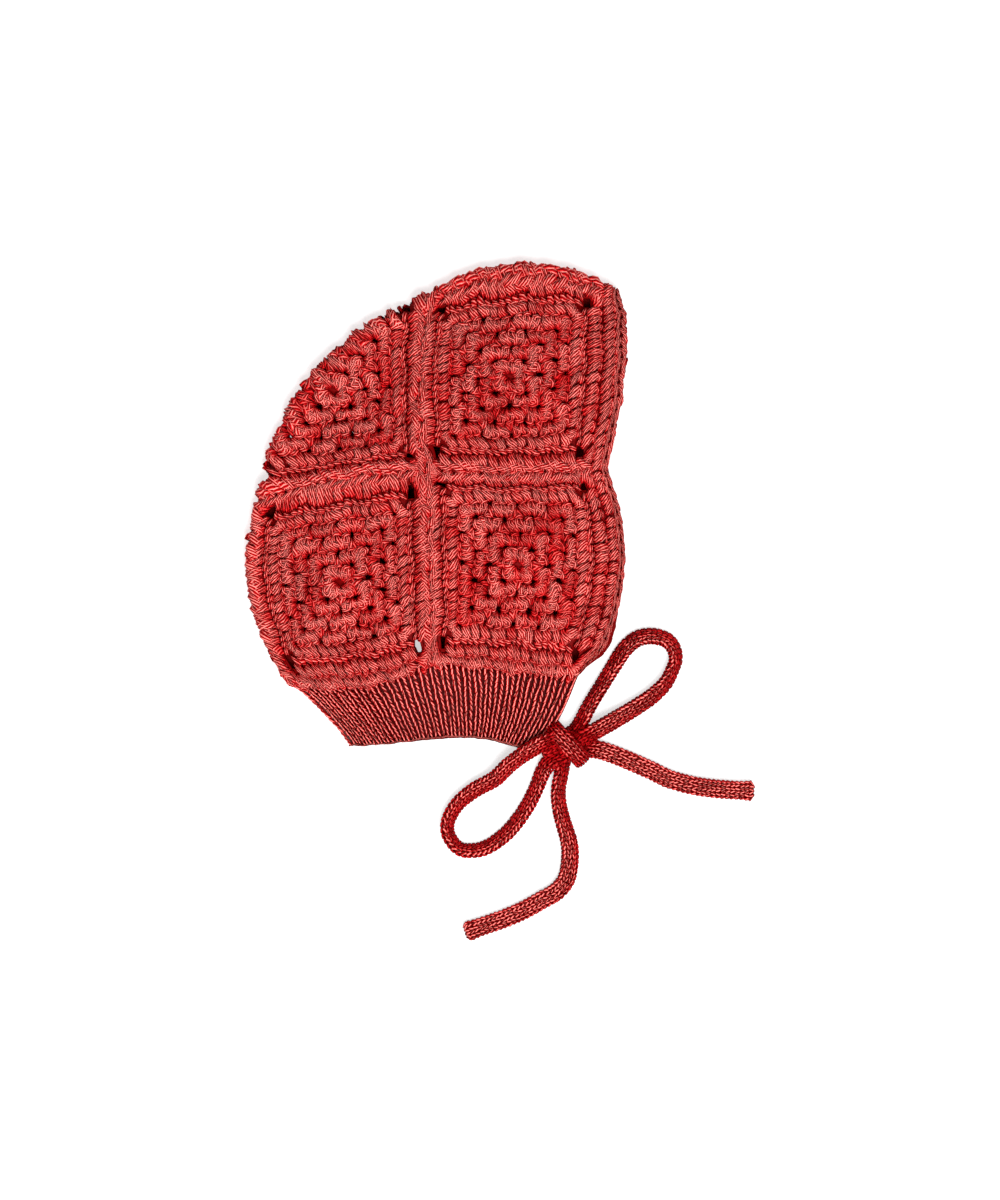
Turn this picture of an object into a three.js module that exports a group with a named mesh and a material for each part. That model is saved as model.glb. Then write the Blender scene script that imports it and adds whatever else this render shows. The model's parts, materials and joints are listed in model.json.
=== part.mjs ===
// A crocheted baby bonnet lying on its side, folded along its middle.
// Seven squares, joined with raised joins, carry a ribbed neck band and two knitted ties in a bow.
// X runs toward the face opening, Y toward the crown and Z up. The far half lies on Z = 0.
import * as THREE from 'three';

// Driving sizes, in millimetres
const bonnetDepth = 138;
const bonnetHeight = 177.3;
const squarePitch = 65;
const wall = 3.5;
const bandWall = 3;
const ribRelief = 0.5;
const joinWidth = 8.2;
const joinRise = 0.6;
const gap = 0.4;
const foldHeight = 6.5;
const foldReach = 4;
const foldGap = 3;
const puff = 15;
const puffReach = 42;
const cornerGap = 0.5;
const edgingWidth = 10;
const bandHeight = 27;
const holeWidth = 1.9;
const ringSpacing = [4.9, 10.3];
const eyeletInset = 2.4;
const farPeek = 1.8;
const ribsPerSide = 36;
const tieWidth = 7.5;
const turnedTieWidth = 5.4;
const tieThickness = 3.8;
const knotLength = 18;
const knotWidth = 11.6;
const knotHeight = 11.6;

// Where corners, edge middles and centres lie: along and up count squares,
// x and y are shares of half the bonnet's depth and height
const plan = [
  { along: 0, up: 0, x: -0.763, y: -0.695 },
  { along: 0.5, up: 0, x: -0.392, y: -0.704 },
  { along: 1, up: 0, x: -0.033, y: -0.61 },
  { along: 1.5, up: 0, x: 0.353, y: -0.639 },
  { along: 2, up: 0, x: 0.734, y: -0.667 },
  { along: 0, up: 0.5, x: -0.962, y: -0.326 },
  { along: 0.5, up: 0.5, x: -0.502, y: -0.293 },
  { along: 1, up: 0.5, x: -0.038, y: -0.228 },
  { along: 1.5, up: 0.5, x: 0.421, y: -0.224 },
  { along: 2, up: 0.5, x: 0.88, y: -0.245 },
  { along: 0, up: 1, x: -0.914, y: 0.044 },
  { along: 0.5, up: 1, x: -0.497, y: 0.117 },
  { along: 1, up: 1, x: -0.059, y: 0.161 },
  { along: 1.5, up: 1, x: 0.395, y: 0.145 },
  { along: 2, up: 1, x: 0.786, y: 0.161 },
  { along: 0.5, up: 1.5, x: -0.63, y: 0.541 },
  { along: 1, up: 1.5, x: -0.085, y: 0.527 },
  { along: 1.5, up: 1.5, x: 0.379, y: 0.535 },
  { along: 2, up: 1.5, x: 0.849, y: 0.568 },
  { along: 1, up: 2, x: -0.027, y: 0.864 },
  { along: 1.5, up: 2, x: 0.405, y: 0.98 },
  { along: 2, up: 2, x: 0.849, y: 0.909 },
];

// The outer rim of the face edging, and the lower rim of the neck band
const faceRim = [
  { up: 0, x: 0.776, y: -0.695 },
  { up: 0.5, x: 0.992, y: -0.257 },
  { up: 1, x: 0.885, y: 0.161 },
  { up: 1.5, x: 0.99, y: 0.616 },
  { up: 2, x: 0.943, y: 0.872 },
];
const neckRim = [
  { along: 0, x: -0.439, y: -0.963 },
  { along: 0.5, x: -0.205, y: -0.947 },
  { along: 1, x: 0.051, y: -0.927 },
  { along: 1.5, x: 0.286, y: -0.939 },
  { along: 2, x: 0.51, y: -0.998 },
];

const halfDepth = bonnetDepth / 2;
const halfHeight = bonnetHeight / 2;
const edging = edgingWidth / squarePitch;
const band = bandHeight / squarePitch;
const halfJoin = joinWidth / 2 / squarePitch;
const slit = gap / squarePitch;
const foldLine = foldHeight / 2 + wall / 2;

const crochet = new THREE.MeshStandardMaterial({ color: 0xb4302b, roughness: 0.85, metalness: 0 });
const ribbing = new THREE.MeshStandardMaterial({ color: 0xa82a27, roughness: 0.85, metalness: 0 });
const knitted = new THREE.MeshStandardMaterial({ color: 0xa12521, roughness: 0.85, metalness: 0 });

const placed = (point) => new THREE.Vector2(point.x * halfDepth, point.y * halfHeight);
const squares = new Map(plan.map((point) => [`${point.along} ${point.up}`, placed(point)]));
const rimPoints = faceRim.map(placed);
const neckPoints = neckRim.map(placed);

// Three-point weights for a smooth curve through start, middle and end
function weights(t) {
  return [(1 - 2 * t) * (1 - t), 4 * t * (1 - t), t * (2 * t - 1)];
}

function blend(points, shares) {
  const sum = new THREE.Vector2();
  points.forEach((point, i) => sum.addScaledVector(point, shares[i]));
  return sum;
}

// Half of the crown square, folded on its diagonal
function crownPlan(along, up) {
  const [a, b] = [along, up - 1];
  const [rear, lower, top] = [1 - a, a - b, b];
  const corner = (share) => share * (2 * share - 1);
  return blend(
    ['0 1', '1 1', '1 2', '0.5 1', '1 1.5', '0.5 1.5'].map((key) => squares.get(key)),
    [corner(rear), corner(lower), corner(top), 4 * rear * lower, 4 * lower * top, 4 * rear * top],
  );
}

function squarePlan(along, up) {
  const [column, row] = [along < 1 ? 0 : 1, up <= 1 ? 0 : 1];
  const [across, rising] = [weights(along - column), weights(up - row)];
  const points = [];
  const shares = [];
  for (const i of [0, 1, 2]) {
    for (const j of [0, 1, 2]) {
      points.push(squares.get(`${column + i / 2} ${row + j / 2}`));
      shares.push(across[i] * rising[j]);
    }
  }
  return blend(points, shares);
}

function along3(points, t) {
  const span = t < 1 ? 0 : 1;
  return blend(points.slice(2 * span, 2 * span + 3), weights(t - span));
}

// Plan position of the crochet's middle, with the band below 0 and the edging past 2
function planAt(along, up) {
  if (up < 0) {
    const reach = Math.min(along, 2);
    return squarePlan(reach, 0).lerp(along3(neckPoints, reach), -up / band);
  }
  if (along > 2) {
    return squarePlan(2, up).lerp(along3(rimPoints, up), (along - 2) / edging);
  }
  return along < 1 && up > 1 ? crownPlan(along, up) : squarePlan(along, up);
}

// Distance along the crochet to the nearest fold
function toFold(along, up) {
  const folds = [(2 - up) * squarePitch, ((along + 1 - up) / Math.SQRT2) * squarePitch, along * squarePitch];
  const sharpness = 4;
  const least = 0.01;
  const sum = folds.reduce((total, fold) => total + Math.max(fold, least) ** -sharpness, 0);
  return sum ** (-1 / sharpness);
}

const smooth = (t) => THREE.MathUtils.smoothstep(t, 0, 1);

// Height of the near half's middle, before the fold rounds it off
function domeHeight(along, up) {
  const open = smooth(toFold(along, up) / puffReach);
  const towardFace = 1 - 0.5 * smooth((along - 1.1) / 1.1);
  const towardNeck = 1 - 0.45 * smooth((0.5 - up) / (0.5 + band));
  const corner = Math.exp(-(((along - 2.05) / 0.62) ** 2 + ((up + band) / 0.5) ** 2));
  const inner = foldGap + (puff - foldGap) * open * towardFace * towardNeck;
  return 1.5 * wall + THREE.MathUtils.lerp(inner, cornerGap, corner);
}

// Where a point of the crochet lies, and which way its outside faces
function surface(along, up, near) {
  const step = 0.01;
  const here = planAt(along, up);
  const last = up < 0 ? 2 : 2 + edging;
  const [sideways, upward] = [along + step > last ? -step : step, up + step > 2 ? -step : step];
  const diagonal = along < 1 && up > 1;
  const ahead = planAt(along + sideways, up).sub(here).divideScalar(sideways);
  const above = planAt(along, diagonal ? up - step : up + upward).sub(here);
  above.divideScalar(diagonal ? -step : upward);
  const area = ahead.cross(above);
  const slope = (f) => {
    const di = (f(along + step, up) - f(along - step, up)) / (2 * step);
    const dj = (f(along, up + step) - f(along, up - step)) / (2 * step);
    return new THREE.Vector2((di * above.y - dj * ahead.y) / area, (dj * ahead.x - di * above.x) / area);
  };
  const outward = slope(toFold).normalize().negate();
  const near01 = 1 - Math.min(toFold(along, up) / foldReach, 1);
  const rise = Math.sqrt(1 - near01 * near01);
  const tilt = slope(domeHeight);
  const face = near ? new THREE.Vector3(-tilt.x, -tilt.y, 1).normalize() : new THREE.Vector3(0, 0, -1);
  const normal = face.multiplyScalar(rise).add(new THREE.Vector3(outward.x, outward.y, 0).multiplyScalar(near01));
  const level = near ? domeHeight(along, up) : wall / 2;
  const peek = near ? 0 : farPeek * smooth((along - 1.6) / 0.5) * smooth((0.45 - Math.abs(up - 0.05)) / 0.5);
  const point = new THREE.Vector3(here.x + peek, here.y - peek * 0.5, foldLine + (level - foldLine) * rise);
  return { point, normal: normal.normalize() };
}

// A closed wall over a grid: place(i, j, side) gives the outer (side 1) or inner (side -1) point,
// and open lists the cells that are cut through
function shell(name, columns, rows, place, material, open = () => false, rising = true) {
  const corners = [];
  const faces = [];
  const index = new Map();
  const vertex = (i, j, side) => {
    const key = `${i} ${j} ${side}`;
    if (!index.has(key)) {
      index.set(key, corners.length / 3);
      corners.push(...place(i, j, side).toArray());
    }
    return index.get(key);
  };
  const quad = (a, b, c, d, turn = true) => faces.push(...(turn ? [a, b, c, a, c, d] : [a, b, d, b, c, d]));
  const solid = (i, j) => i >= 0 && j >= 0 && i < columns && j < rows && !open(i, j);
  for (let i = 0; i < columns; i += 1) {
    for (let j = 0; j < rows; j += 1) {
      if (!solid(i, j)) continue;
      const loop = [[i, j], [i + 1, j], [i + 1, j + 1], [i, j + 1]];
      const [a, b, c, d] = loop.map(([u, v]) => vertex(u, v, 1));
      const [e, f, g, h] = loop.map(([u, v]) => vertex(u, v, -1));
      quad(a, b, c, d, rising);
      quad(f, e, h, g, !rising);
      if (!solid(i, j - 1)) quad(e, f, b, a);
      if (!solid(i + 1, j)) quad(f, g, c, b);
      if (!solid(i, j + 1)) quad(g, h, d, c);
      if (!solid(i - 1, j)) quad(h, e, a, d, false);
    }
  }
  const geometry = new THREE.BufferGeometry();
  geometry.setAttribute('position', new THREE.Float32BufferAttribute(corners, 3));
  geometry.setIndex(faces);
  geometry.computeVertexNormals();
  const mesh = new THREE.Mesh(geometry, material);
  mesh.name = name;
  return mesh;
}

// The outer or inner point of the crochet, for the near half or mirrored for the far half
function skin(along, up, near, side, rise = 0) {
  const { point, normal } = surface(along, up, near);
  const raised = side > 0 ? rise * Math.max(normal.z, 0) : 0;
  return point.addScaledVector(normal, (side * wall) / 2 + raised);
}

const flipped = (near, i, count) => (near ? i : count - i);

// Grid lines from a square's middle to one side: ring holes first, then the corner eyelet.
// A side that meets a join stops beside it, and one that meets the edging or the band runs on to it
function halfLines(meetsJoin, extra) {
  const beside = (squarePitch - joinWidth) / 2 - gap;
  const [first, second] = ringSpacing;
  const hole = holeWidth / 2;
  const lines = [hole, first - hole, first + hole, second - hole, second + hole, ...extra, beside - eyeletInset, beside];
  return meetsJoin ? lines : [...lines, squarePitch / 2 - gap];
}

function gridLines(lowMeetsJoin, highMeetsJoin, extra = []) {
  const low = halfLines(lowMeetsJoin, extra).map((line) => -line);
  return [...low.reverse(), ...halfLines(highMeetsJoin, extra)].map((line) => line / squarePitch);
}

// The cells that are cut through: the middle, the two rings round it and the corner eyelets
function holeCells(acrossLines, upLines) {
  const [first, second] = ringSpacing;
  const eyelet = (squarePitch - joinWidth) / 2 - gap - eyeletInset / 2;
  const ring = (lines, i) => {
    const middle = Math.abs(lines[i] + lines[i + 1]) / 2 * squarePitch;
    return [0, first, second, eyelet].findIndex((place) => Math.abs(middle - place) < holeWidth / 4);
  };
  return (i, j) => {
    const [across, up] = [ring(acrossLines, i), ring(upLines, j)];
    const middleOfSide = (across === 2 && up === 0) || (across === 0 && up === 2);
    return middleOfSide || (across === up && across >= 0);
  };
}

function grannySquare(name, column, row, near) {
  const acrossLines = gridLines(true, column === 0);
  const upLines = gridLines(row === 1, true);
  const count = acrossLines.length - 1;
  const place = (i, j, side) => {
    const along = column + 0.5 + acrossLines[flipped(near, i, count)];
    return skin(along, row + 0.5 + upLines[j], near, side);
  };
  const holes = holeCells(acrossLines, upLines);
  const open = (i, j) => holes(flipped(near, i, count - 1), j);
  return shell(name, count, upLines.length - 1, place, crochet, open);
}

// The crown square crosses the fold on its diagonal: below it lies the near half, above it the far half
const crownFillers = [18];
function crownSquare() {
  const lines = gridLines(true, true, crownFillers);
  const count = lines.length - 1;
  const place = (i, j, side) => {
    const [a, b] = [0.5 + lines[i], 0.5 + lines[j]];
    const near = i >= j;
    return skin(Math.max(a, b), 1 + Math.min(a, b), near, side);
  };
  return shell('crown_square', count, count, place, crochet, holeCells(lines, lines));
}

// A strip of crochet along a row of stations, each with its own points across
function strip(name, stations, across, near, locate, rise) {
  const columns = across.length - 1;
  const rows = stations.length - 1;
  const place = (i, j, side) => {
    const { along, up, upper } = locate(across[flipped(near, i, columns)], stations[j]);
    return skin(along, up, upper, side, rise);
  };
  return shell(name, columns, rows, place, crochet);
}

const steps = (from, to, count) => Array.from({ length: count + 1 }, (_, i) => from + ((to - from) * i) / count);
const joinAcross = [-halfJoin, 0, halfJoin];

// Stations past one square, in step with its grid, so that the join follows the square's edge
function besideSquare(start) {
  const lines = halfLines(true, crownFillers).slice(4).map((line) => line / squarePitch);
  return [...lines.map((line) => -line).reverse(), 0, ...lines].map((line) => start + 0.5 + line);
}

// The long join from the neck band to the crown, past all four squares
function frontRearJoin(near) {
  const end = (w) => (w < 0 ? 2 + w : 2) - slit / 2;
  const stations = [slit, ...besideSquare(0), 1, ...besideSquare(1), 2 - halfJoin / 2, 2];
  const locate = (w, t) => ({ along: 1 + w, up: Math.min(t, end(w)), upper: near });
  return strip(`front_rear_join_${near ? 'near' : 'far'}`, stations, joinAcross, near, locate, joinRise);
}

// The join between the crown square and a back square, ending at the fold
function crownRearJoin(near) {
  const start = (w) => Math.max(0, w) + slit / 2;
  const stations = [0, halfJoin / 2, ...besideSquare(0)];
  const locate = (w, t) => ({ along: Math.max(t, start(w)), up: 1 + w, upper: near });
  return strip(`crown_rear_join_${near ? 'near' : 'far'}`, stations, joinAcross, !near, locate, joinRise);
}

// The join between a front top square and a front side square
function frontJoin(near) {
  const stations = [...besideSquare(1), 2 - slit];
  const locate = (w, t) => ({ along: t, up: 1 + w, upper: near });
  return strip(`front_join_${near ? 'near' : 'far'}`, stations, joinAcross, !near, locate, joinRise);
}

const foldAcross = [-1, -0.5, 0, 0.5, 1].map((share) => share * halfJoin);

// The join over the top fold, between the two front top squares
function topJoin() {
  const [, ...beyond] = besideSquare(1);
  const stations = [1 + halfJoin + 2 * slit, ...beyond, 2 - slit];
  const locate = (w, t) => ({ along: t, up: 2 - Math.abs(w), upper: w <= 0 });
  return strip('top_join', stations, foldAcross, false, locate, joinRise);
}

// The join over the back fold, between the two back squares
function backJoin() {
  const beyond = besideSquare(0).slice(0, -1);
  const stations = [slit, ...beyond, 1 - halfJoin - 2 * slit];
  const locate = (w, t) => ({ along: Math.abs(w), up: t, upper: w >= 0 });
  return strip('back_join', stations, foldAcross, true, locate, joinRise);
}

// Two rows round the face opening, over the top fold and down the far side
function faceEdging() {
  const reach = [slit, edging * 0.5, edging];
  const rounding = foldReach / squarePitch;
  const upward = [...steps(slit, 2 - rounding, 18), 2 - rounding / 2];
  const stations = [...upward, 2, ...upward.map((up) => 4 - up).reverse()];
  const locate = (w, t) => ({ along: 2 + w, up: Math.min(t, 4 - t), upper: t <= 2 });
  return strip('face_edging', stations, reach, true, locate, 0);
}

// The ribbed neck band, from the near front corner round the back fold to the far one
function neckBand() {
  const columns = 4 * ribsPerSide;
  const drops = [slit, band * 0.5, band];
  const place = (i, j, side) => {
    const t = 1 - (2 * i) / columns;
    const relief = i % 2 === 0 ? 0 : -ribRelief;
    const { point, normal } = surface(2 * Math.abs(t), -drops[j], t >= 0);
    const inset = t >= 0 ? 0 : wall - bandWall;
    return point.addScaledVector(normal, (side * (bandWall + relief)) / 2 + inset / 2);
  };
  return shell('neck_band', columns, 2, place, ribbing);
}

// The knot of the bow, a lump of wrapped tie lying on the surface
function bowKnot() {
  const geometry = new THREE.SphereGeometry(0.5, 12, 8);
  const knot = new THREE.Mesh(geometry, knitted);
  knot.name = 'bow_knot';
  knot.scale.set(knotLength, knotWidth, knotHeight);
  knot.rotation.z = THREE.MathUtils.degToRad(-47);
  knot.position.set(47.3, -84.5, knotHeight / 2 + 0.05);
  return knot;
}

// Routes of the ties as they lie, chosen point by point
const tieRoutes = {
  near_tie_root: [[38.3, -85.8, 6.1], [39.1, -85.8, 6.1], [39.9, -85.8, 6.1]],
  far_tie_root: [[38.9, -86, 2], [39.9, -86, 2], [40.9, -86, 2]],
  near_tie_loop: [
    [51, -77.6, 5.9], [54.6, -70.6, 5], [59.4, -62.8, 3.6], [63.6, -56, 2.4], [67.4, -50.2, 2], [72, -46.4, 2],
    [77.2, -45.5, 2], [82.3, -46.8, 2], [85, -49.8, 2], [85.8, -53.6, 2], [84.8, -57, 2], [82.2, -62.2, 2],
    [77.6, -66.8, 2], [71.2, -71.2, 2.6], [64.8, -75, 4.4], [59.2, -78.2, 7.4], [53, -81.6, 9.4],
  ],
  far_tie_loop: [
    [40.3, -83, 10.4], [36.4, -84.6, 10.4], [31.4, -87.6, 10], [26, -91.6, 8], [20.6, -96.8, 4.8],
    [13.4, -100.8, 2.6],
    [7.4, -105.8, 2], [3.9, -112, 2], [4.1, -117, 2], [7.2, -121.4, 2], [11.2, -122.6, 2], [17.4, -121.6, 2],
    [24, -117.2, 2], [28.4, -112.4, 2], [32.4, -106.6, 2], [35.6, -100.2, 2.2], [38, -94.2, 3.6],
    [40.8, -90.2, 5.9],
  ],
  near_tie_tail: [
    [45.2, -91.1, 2], [44.6, -95, 2], [43.6, -100.8, 2], [43.9, -106.4, 2], [45.4, -112.6, 2], [47.2, -118.6, 2],
    [47.8, -123.4, 2], [47.4, -129, 2], [46.2, -133.4, 2], [42.8, -137.4, 2], [38, -140.2, 2], [31.6, -143.8, 2],
    [24.4, -147, 2], [16.4, -149.8, 2], [10.1, -152, 2],
  ],
  far_tie_tail: [
    [54.5, -86, 2], [58.2, -86.4, 2], [63, -87.9, 2], [70.2, -90.8, 2], [77.4, -94, 2], [83.2, -96.8, 2],
    [91, -99, 2], [98.2, -100.2, 2], [105.4, -100.8, 2], [112.6, -101.2, 2],
  ],
};

// Ends lie flat, and the loops and roots stand partly on edge
function tieLength(name, route) {
  const width = name.endsWith('tail') ? tieWidth : turnedTieWidth;
  const curve = new THREE.CatmullRomCurve3(route.map((point) => new THREE.Vector3(...point)), false, 'centripetal');
  const section = new THREE.Shape();
  section.absellipse(0, 0, tieThickness / 2, width / 2, 0, 2 * Math.PI);
  const geometry = new THREE.ExtrudeGeometry(section, {
    steps: route.length < 5 ? 2 : Math.max(8, Math.round(curve.getLength() / (tieWidth * 0.8))),
    curveSegments: 5,
    extrudePath: curve,
  });
  const mesh = new THREE.Mesh(geometry, knitted);
  mesh.name = name;
  return mesh;
}

const bonnet = new THREE.Group();
bonnet.add(crownSquare());
for (const near of [true, false]) {
  const half = near ? 'near' : 'far';
  bonnet.add(grannySquare(`front_top_square_${half}`, 1, 1, near));
  bonnet.add(grannySquare(`front_side_square_${half}`, 1, 0, near));
  bonnet.add(grannySquare(`back_square_${half}`, 0, 0, near));
  bonnet.add(frontRearJoin(near));
  bonnet.add(crownRearJoin(near));
  bonnet.add(frontJoin(near));
}
bonnet.add(topJoin());
bonnet.add(backJoin());
bonnet.add(faceEdging());
bonnet.add(neckBand());
bonnet.add(bowKnot());
for (const [name, route] of Object.entries(tieRoutes)) {
  bonnet.add(tieLength(name, route));
}

export default bonnet;
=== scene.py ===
"""A crocheted baby bonnet lying on its side, with its knitted ties in a bow, on a pale surface.

Every piece is laid out flat first, stitch by stitch, and then folded onto the bonnet's two halves.
Flat patterns are in metres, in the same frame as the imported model: X toward the face opening,
Y toward the crown and Z up.
"""

import json
import math

import bpy
import numpy as np
from bpy.props import FloatProperty, FloatVectorProperty, PointerProperty
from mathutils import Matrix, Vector

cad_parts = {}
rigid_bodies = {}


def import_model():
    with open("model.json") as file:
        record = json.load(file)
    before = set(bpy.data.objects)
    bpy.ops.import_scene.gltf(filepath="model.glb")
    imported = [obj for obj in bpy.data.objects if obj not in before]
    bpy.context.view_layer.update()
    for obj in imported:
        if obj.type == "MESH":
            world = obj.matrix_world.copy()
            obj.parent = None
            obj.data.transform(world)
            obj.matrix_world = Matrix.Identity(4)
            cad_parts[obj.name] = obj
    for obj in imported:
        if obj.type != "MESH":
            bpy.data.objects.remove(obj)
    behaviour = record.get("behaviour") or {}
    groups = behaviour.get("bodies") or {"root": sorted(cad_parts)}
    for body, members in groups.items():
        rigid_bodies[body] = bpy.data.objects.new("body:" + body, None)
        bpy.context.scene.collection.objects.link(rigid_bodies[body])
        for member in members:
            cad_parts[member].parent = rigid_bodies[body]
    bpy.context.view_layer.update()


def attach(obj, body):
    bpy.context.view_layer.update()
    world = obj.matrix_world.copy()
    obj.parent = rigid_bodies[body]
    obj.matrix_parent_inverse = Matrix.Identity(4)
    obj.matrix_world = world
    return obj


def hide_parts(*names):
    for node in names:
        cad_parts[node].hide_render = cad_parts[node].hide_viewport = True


bl_info = {
    "name": "Crocheted bonnet",
    "version": (1, 0, 0),
    "blender": (4, 5, 0),
    "location": "3D View > Sidebar > Bonnet",
    "description": "Builds a crocheted baby bonnet, stitch by stitch, round its packed frame",
    "category": "Object",
}

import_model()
MM = 0.001

# The photograph's pixel in metres, and its middle
PIXEL = 0.36 * MM
PHOTO_MIDDLE = (500.0, 600.0)
BONNET_MIDDLE = (437.25, 509.75)

# The bonnet's sizes, with a square's pitch, how its halves part and how the fold between them is rounded
DEPTH = 138 * MM
HEIGHT = 177.3 * MM
PITCH = 65 * MM
WALL = 3.5 * MM
JOIN_WIDTH = 8.2 * MM
FOLD_HEIGHT = 6.5 * MM
FOLD_REACH = 4 * MM
FOLD_GAP = 3 * MM
PUFF = 15 * MM
PUFF_REACH = 42 * MM
CORNER_GAP = 0.5 * MM
EDGING_WIDTH = 10 * MM
BAND_HEIGHT = 27 * MM
SLIT = 0.4 * MM
EDGING = EDGING_WIDTH / PITCH
BAND = BAND_HEIGHT / PITCH
HALF_JOIN = JOIN_WIDTH / 2 / PITCH
FOLD_LINE = FOLD_HEIGHT / 2 + WALL / 2
JUST_ABOVE = 0.02 * MM

# How far the band's edges bow, how far the far half peeps out by the bow, how much the crown swells by its
# fold, and the share of their height that the stitches under the bonnet keep
REAR_BOW = np.array([[1.5 * MM, 0.5 * MM]])
FRONT_BOW = np.array([[2.6 * MM, -0.8 * MM]])
FAR_PEEK = 1.8 * MM
CROWN_SWELL = 1.0 * MM
CROWN_SWELL_REACH = 9 * MM
FAR_PRESS = 0.74

# Where corners, edge middles and centres lie: (along, up) counts squares, and the place is in shares of
# half the bonnet's depth and height
PLAN = {
    (0, 0): (-0.763, -0.695),
    (0.5, 0): (-0.392, -0.704),
    (1, 0): (-0.033, -0.61),
    (1.5, 0): (0.353, -0.639),
    (2, 0): (0.734, -0.667),
    (0, 0.5): (-0.962, -0.326),
    (0.5, 0.5): (-0.502, -0.293),
    (1, 0.5): (-0.038, -0.228),
    (1.5, 0.5): (0.421, -0.224),
    (2, 0.5): (0.88, -0.245),
    (0, 1): (-0.914, 0.044),
    (0.5, 1): (-0.497, 0.117),
    (1, 1): (-0.059, 0.161),
    (1.5, 1): (0.395, 0.145),
    (2, 1): (0.786, 0.161),
    (0.5, 1.5): (-0.63, 0.541),
    (1, 1.5): (-0.085, 0.527),
    (1.5, 1.5): (0.379, 0.535),
    (2, 1.5): (0.849, 0.568),
    (1, 2): (-0.027, 0.864),
    (1.5, 2): (0.405, 0.98),
    (2, 2): (0.849, 0.909),
}
FACE_RIM = [(0.79, -0.695), (0.975, -0.257), (0.885, 0.161), (0.99, 0.616), (0.943, 0.872)]
NECK_RIM = [(-0.439, -0.963), (-0.205, -0.947), (0.051, -0.927), (0.286, -0.939), (0.51, -0.998)]

HALF_SIZE = np.array([DEPTH / 2, HEIGHT / 2])
GRID = np.zeros((5, 5, 2))
for (_along, _up), _place in PLAN.items():
    GRID[int(2 * _along), int(2 * _up)] = np.array(_place) * HALF_SIZE
FACE_POINTS = np.array(FACE_RIM) * HALF_SIZE
NECK_POINTS = np.array(NECK_RIM) * HALF_SIZE


def three_weights(t):
    """Weights of a smooth curve through start, middle and end."""
    return np.stack([(1 - 2 * t) * (1 - t), 4 * t * (1 - t), t * (2 * t - 1)], -1)


def square_plan(along, up):
    """Plan position in the squares, by a smooth surface through each one's nine places."""
    column = (along >= 1).astype(int)
    row = (up > 1).astype(int)
    across = three_weights(along - column)
    rising = three_weights(up - row)
    total = np.zeros(along.shape + (2,))
    for i in range(3):
        for j in range(3):
            total += GRID[2 * column + i, 2 * row + j] * (across[..., i] * rising[..., j])[..., None]
    return total


def crown_plan(along, up):
    """Half of the crown square, folded on its diagonal."""
    a, b = along, up - 1
    rear, lower, top = 1 - a, a - b, b
    shares = {
        (0, 1): rear * (2 * rear - 1),
        (1, 1): lower * (2 * lower - 1),
        (1, 2): top * (2 * top - 1),
        (0.5, 1): 4 * rear * lower,
        (1, 1.5): 4 * lower * top,
        (0.5, 1.5): 4 * rear * top,
    }
    total = np.zeros(along.shape + (2,))
    for (i, j), share in shares.items():
        total += GRID[int(2 * i), int(2 * j)] * share[..., None]
    return total


def rim_plan(points, t):
    """Plan position on a rim, by two smooth curves end to end."""
    span = (t >= 1).astype(int)
    weights = three_weights(t - span)
    total = np.zeros(t.shape + (2,))
    for i in range(3):
        total += points[2 * span + i] * weights[..., i, None]
    return total


def plan_at(along, up):
    """Plan position of the crochet's middle, with the band below 0 and the edging past 2."""
    out = np.empty(along.shape + (2,))
    band = up < 0
    edge = ~band & (along > 2)
    crown = (along < 1) & (up > 1)
    rest = ~(band | edge | crown)
    if band.any():
        reach = np.minimum(along[band], 2.0)
        share = (-up[band] / BAND)[:, None]
        top = square_plan(reach, np.zeros_like(reach))
        bow = 4 * share * (1 - share) * ((1 - reach) ** 3)[:, None] * REAR_BOW
        bow += 4 * share * (1 - share) * (reach**3 / 8)[:, None] * FRONT_BOW
        out[band] = top * (1 - share) + rim_plan(NECK_POINTS, reach) * share + bow
    if edge.any():
        share = ((along[edge] - 2) / EDGING)[:, None]
        inner = square_plan(np.full_like(along[edge], 2.0), up[edge])
        out[edge] = inner * (1 - share) + rim_plan(FACE_POINTS, up[edge]) * share
    if crown.any():
        out[crown] = crown_plan(along[crown], up[crown])
    if rest.any():
        out[rest] = square_plan(along[rest], up[rest])
    return out


def to_fold(along, up):
    """Distance along the crochet to the nearest fold."""
    folds = [(2 - up) * PITCH, (along + 1 - up) / math.sqrt(2) * PITCH, along * PITCH]
    sharpness = 4
    least = 0.01 * MM
    total = sum((np.maximum(fold, least) / MM) ** -sharpness for fold in folds)
    return total ** (-1 / sharpness) * MM


def smooth(t):
    """Rises from 0 to 1 as t does, level at both ends."""
    t = np.clip(t, 0, 1)
    return t * t * (3 - 2 * t)


def dome_height(along, up):
    """Height of the near half's middle, before the fold rounds it off."""
    opened = smooth(to_fold(along, up) / PUFF_REACH)
    toward_face = 1 - 0.5 * smooth((along - 1.1) / 1.1)
    toward_neck = 1 - 0.45 * smooth((0.5 - up) / (0.5 + BAND))
    corner = np.exp(-(((along - 2.05) / 0.62) ** 2 + ((up + BAND) / 0.5) ** 2))
    inner = FOLD_GAP + (PUFF - FOLD_GAP) * opened * toward_face * toward_neck
    return 1.5 * WALL + inner + (CORNER_GAP - inner) * corner


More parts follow.
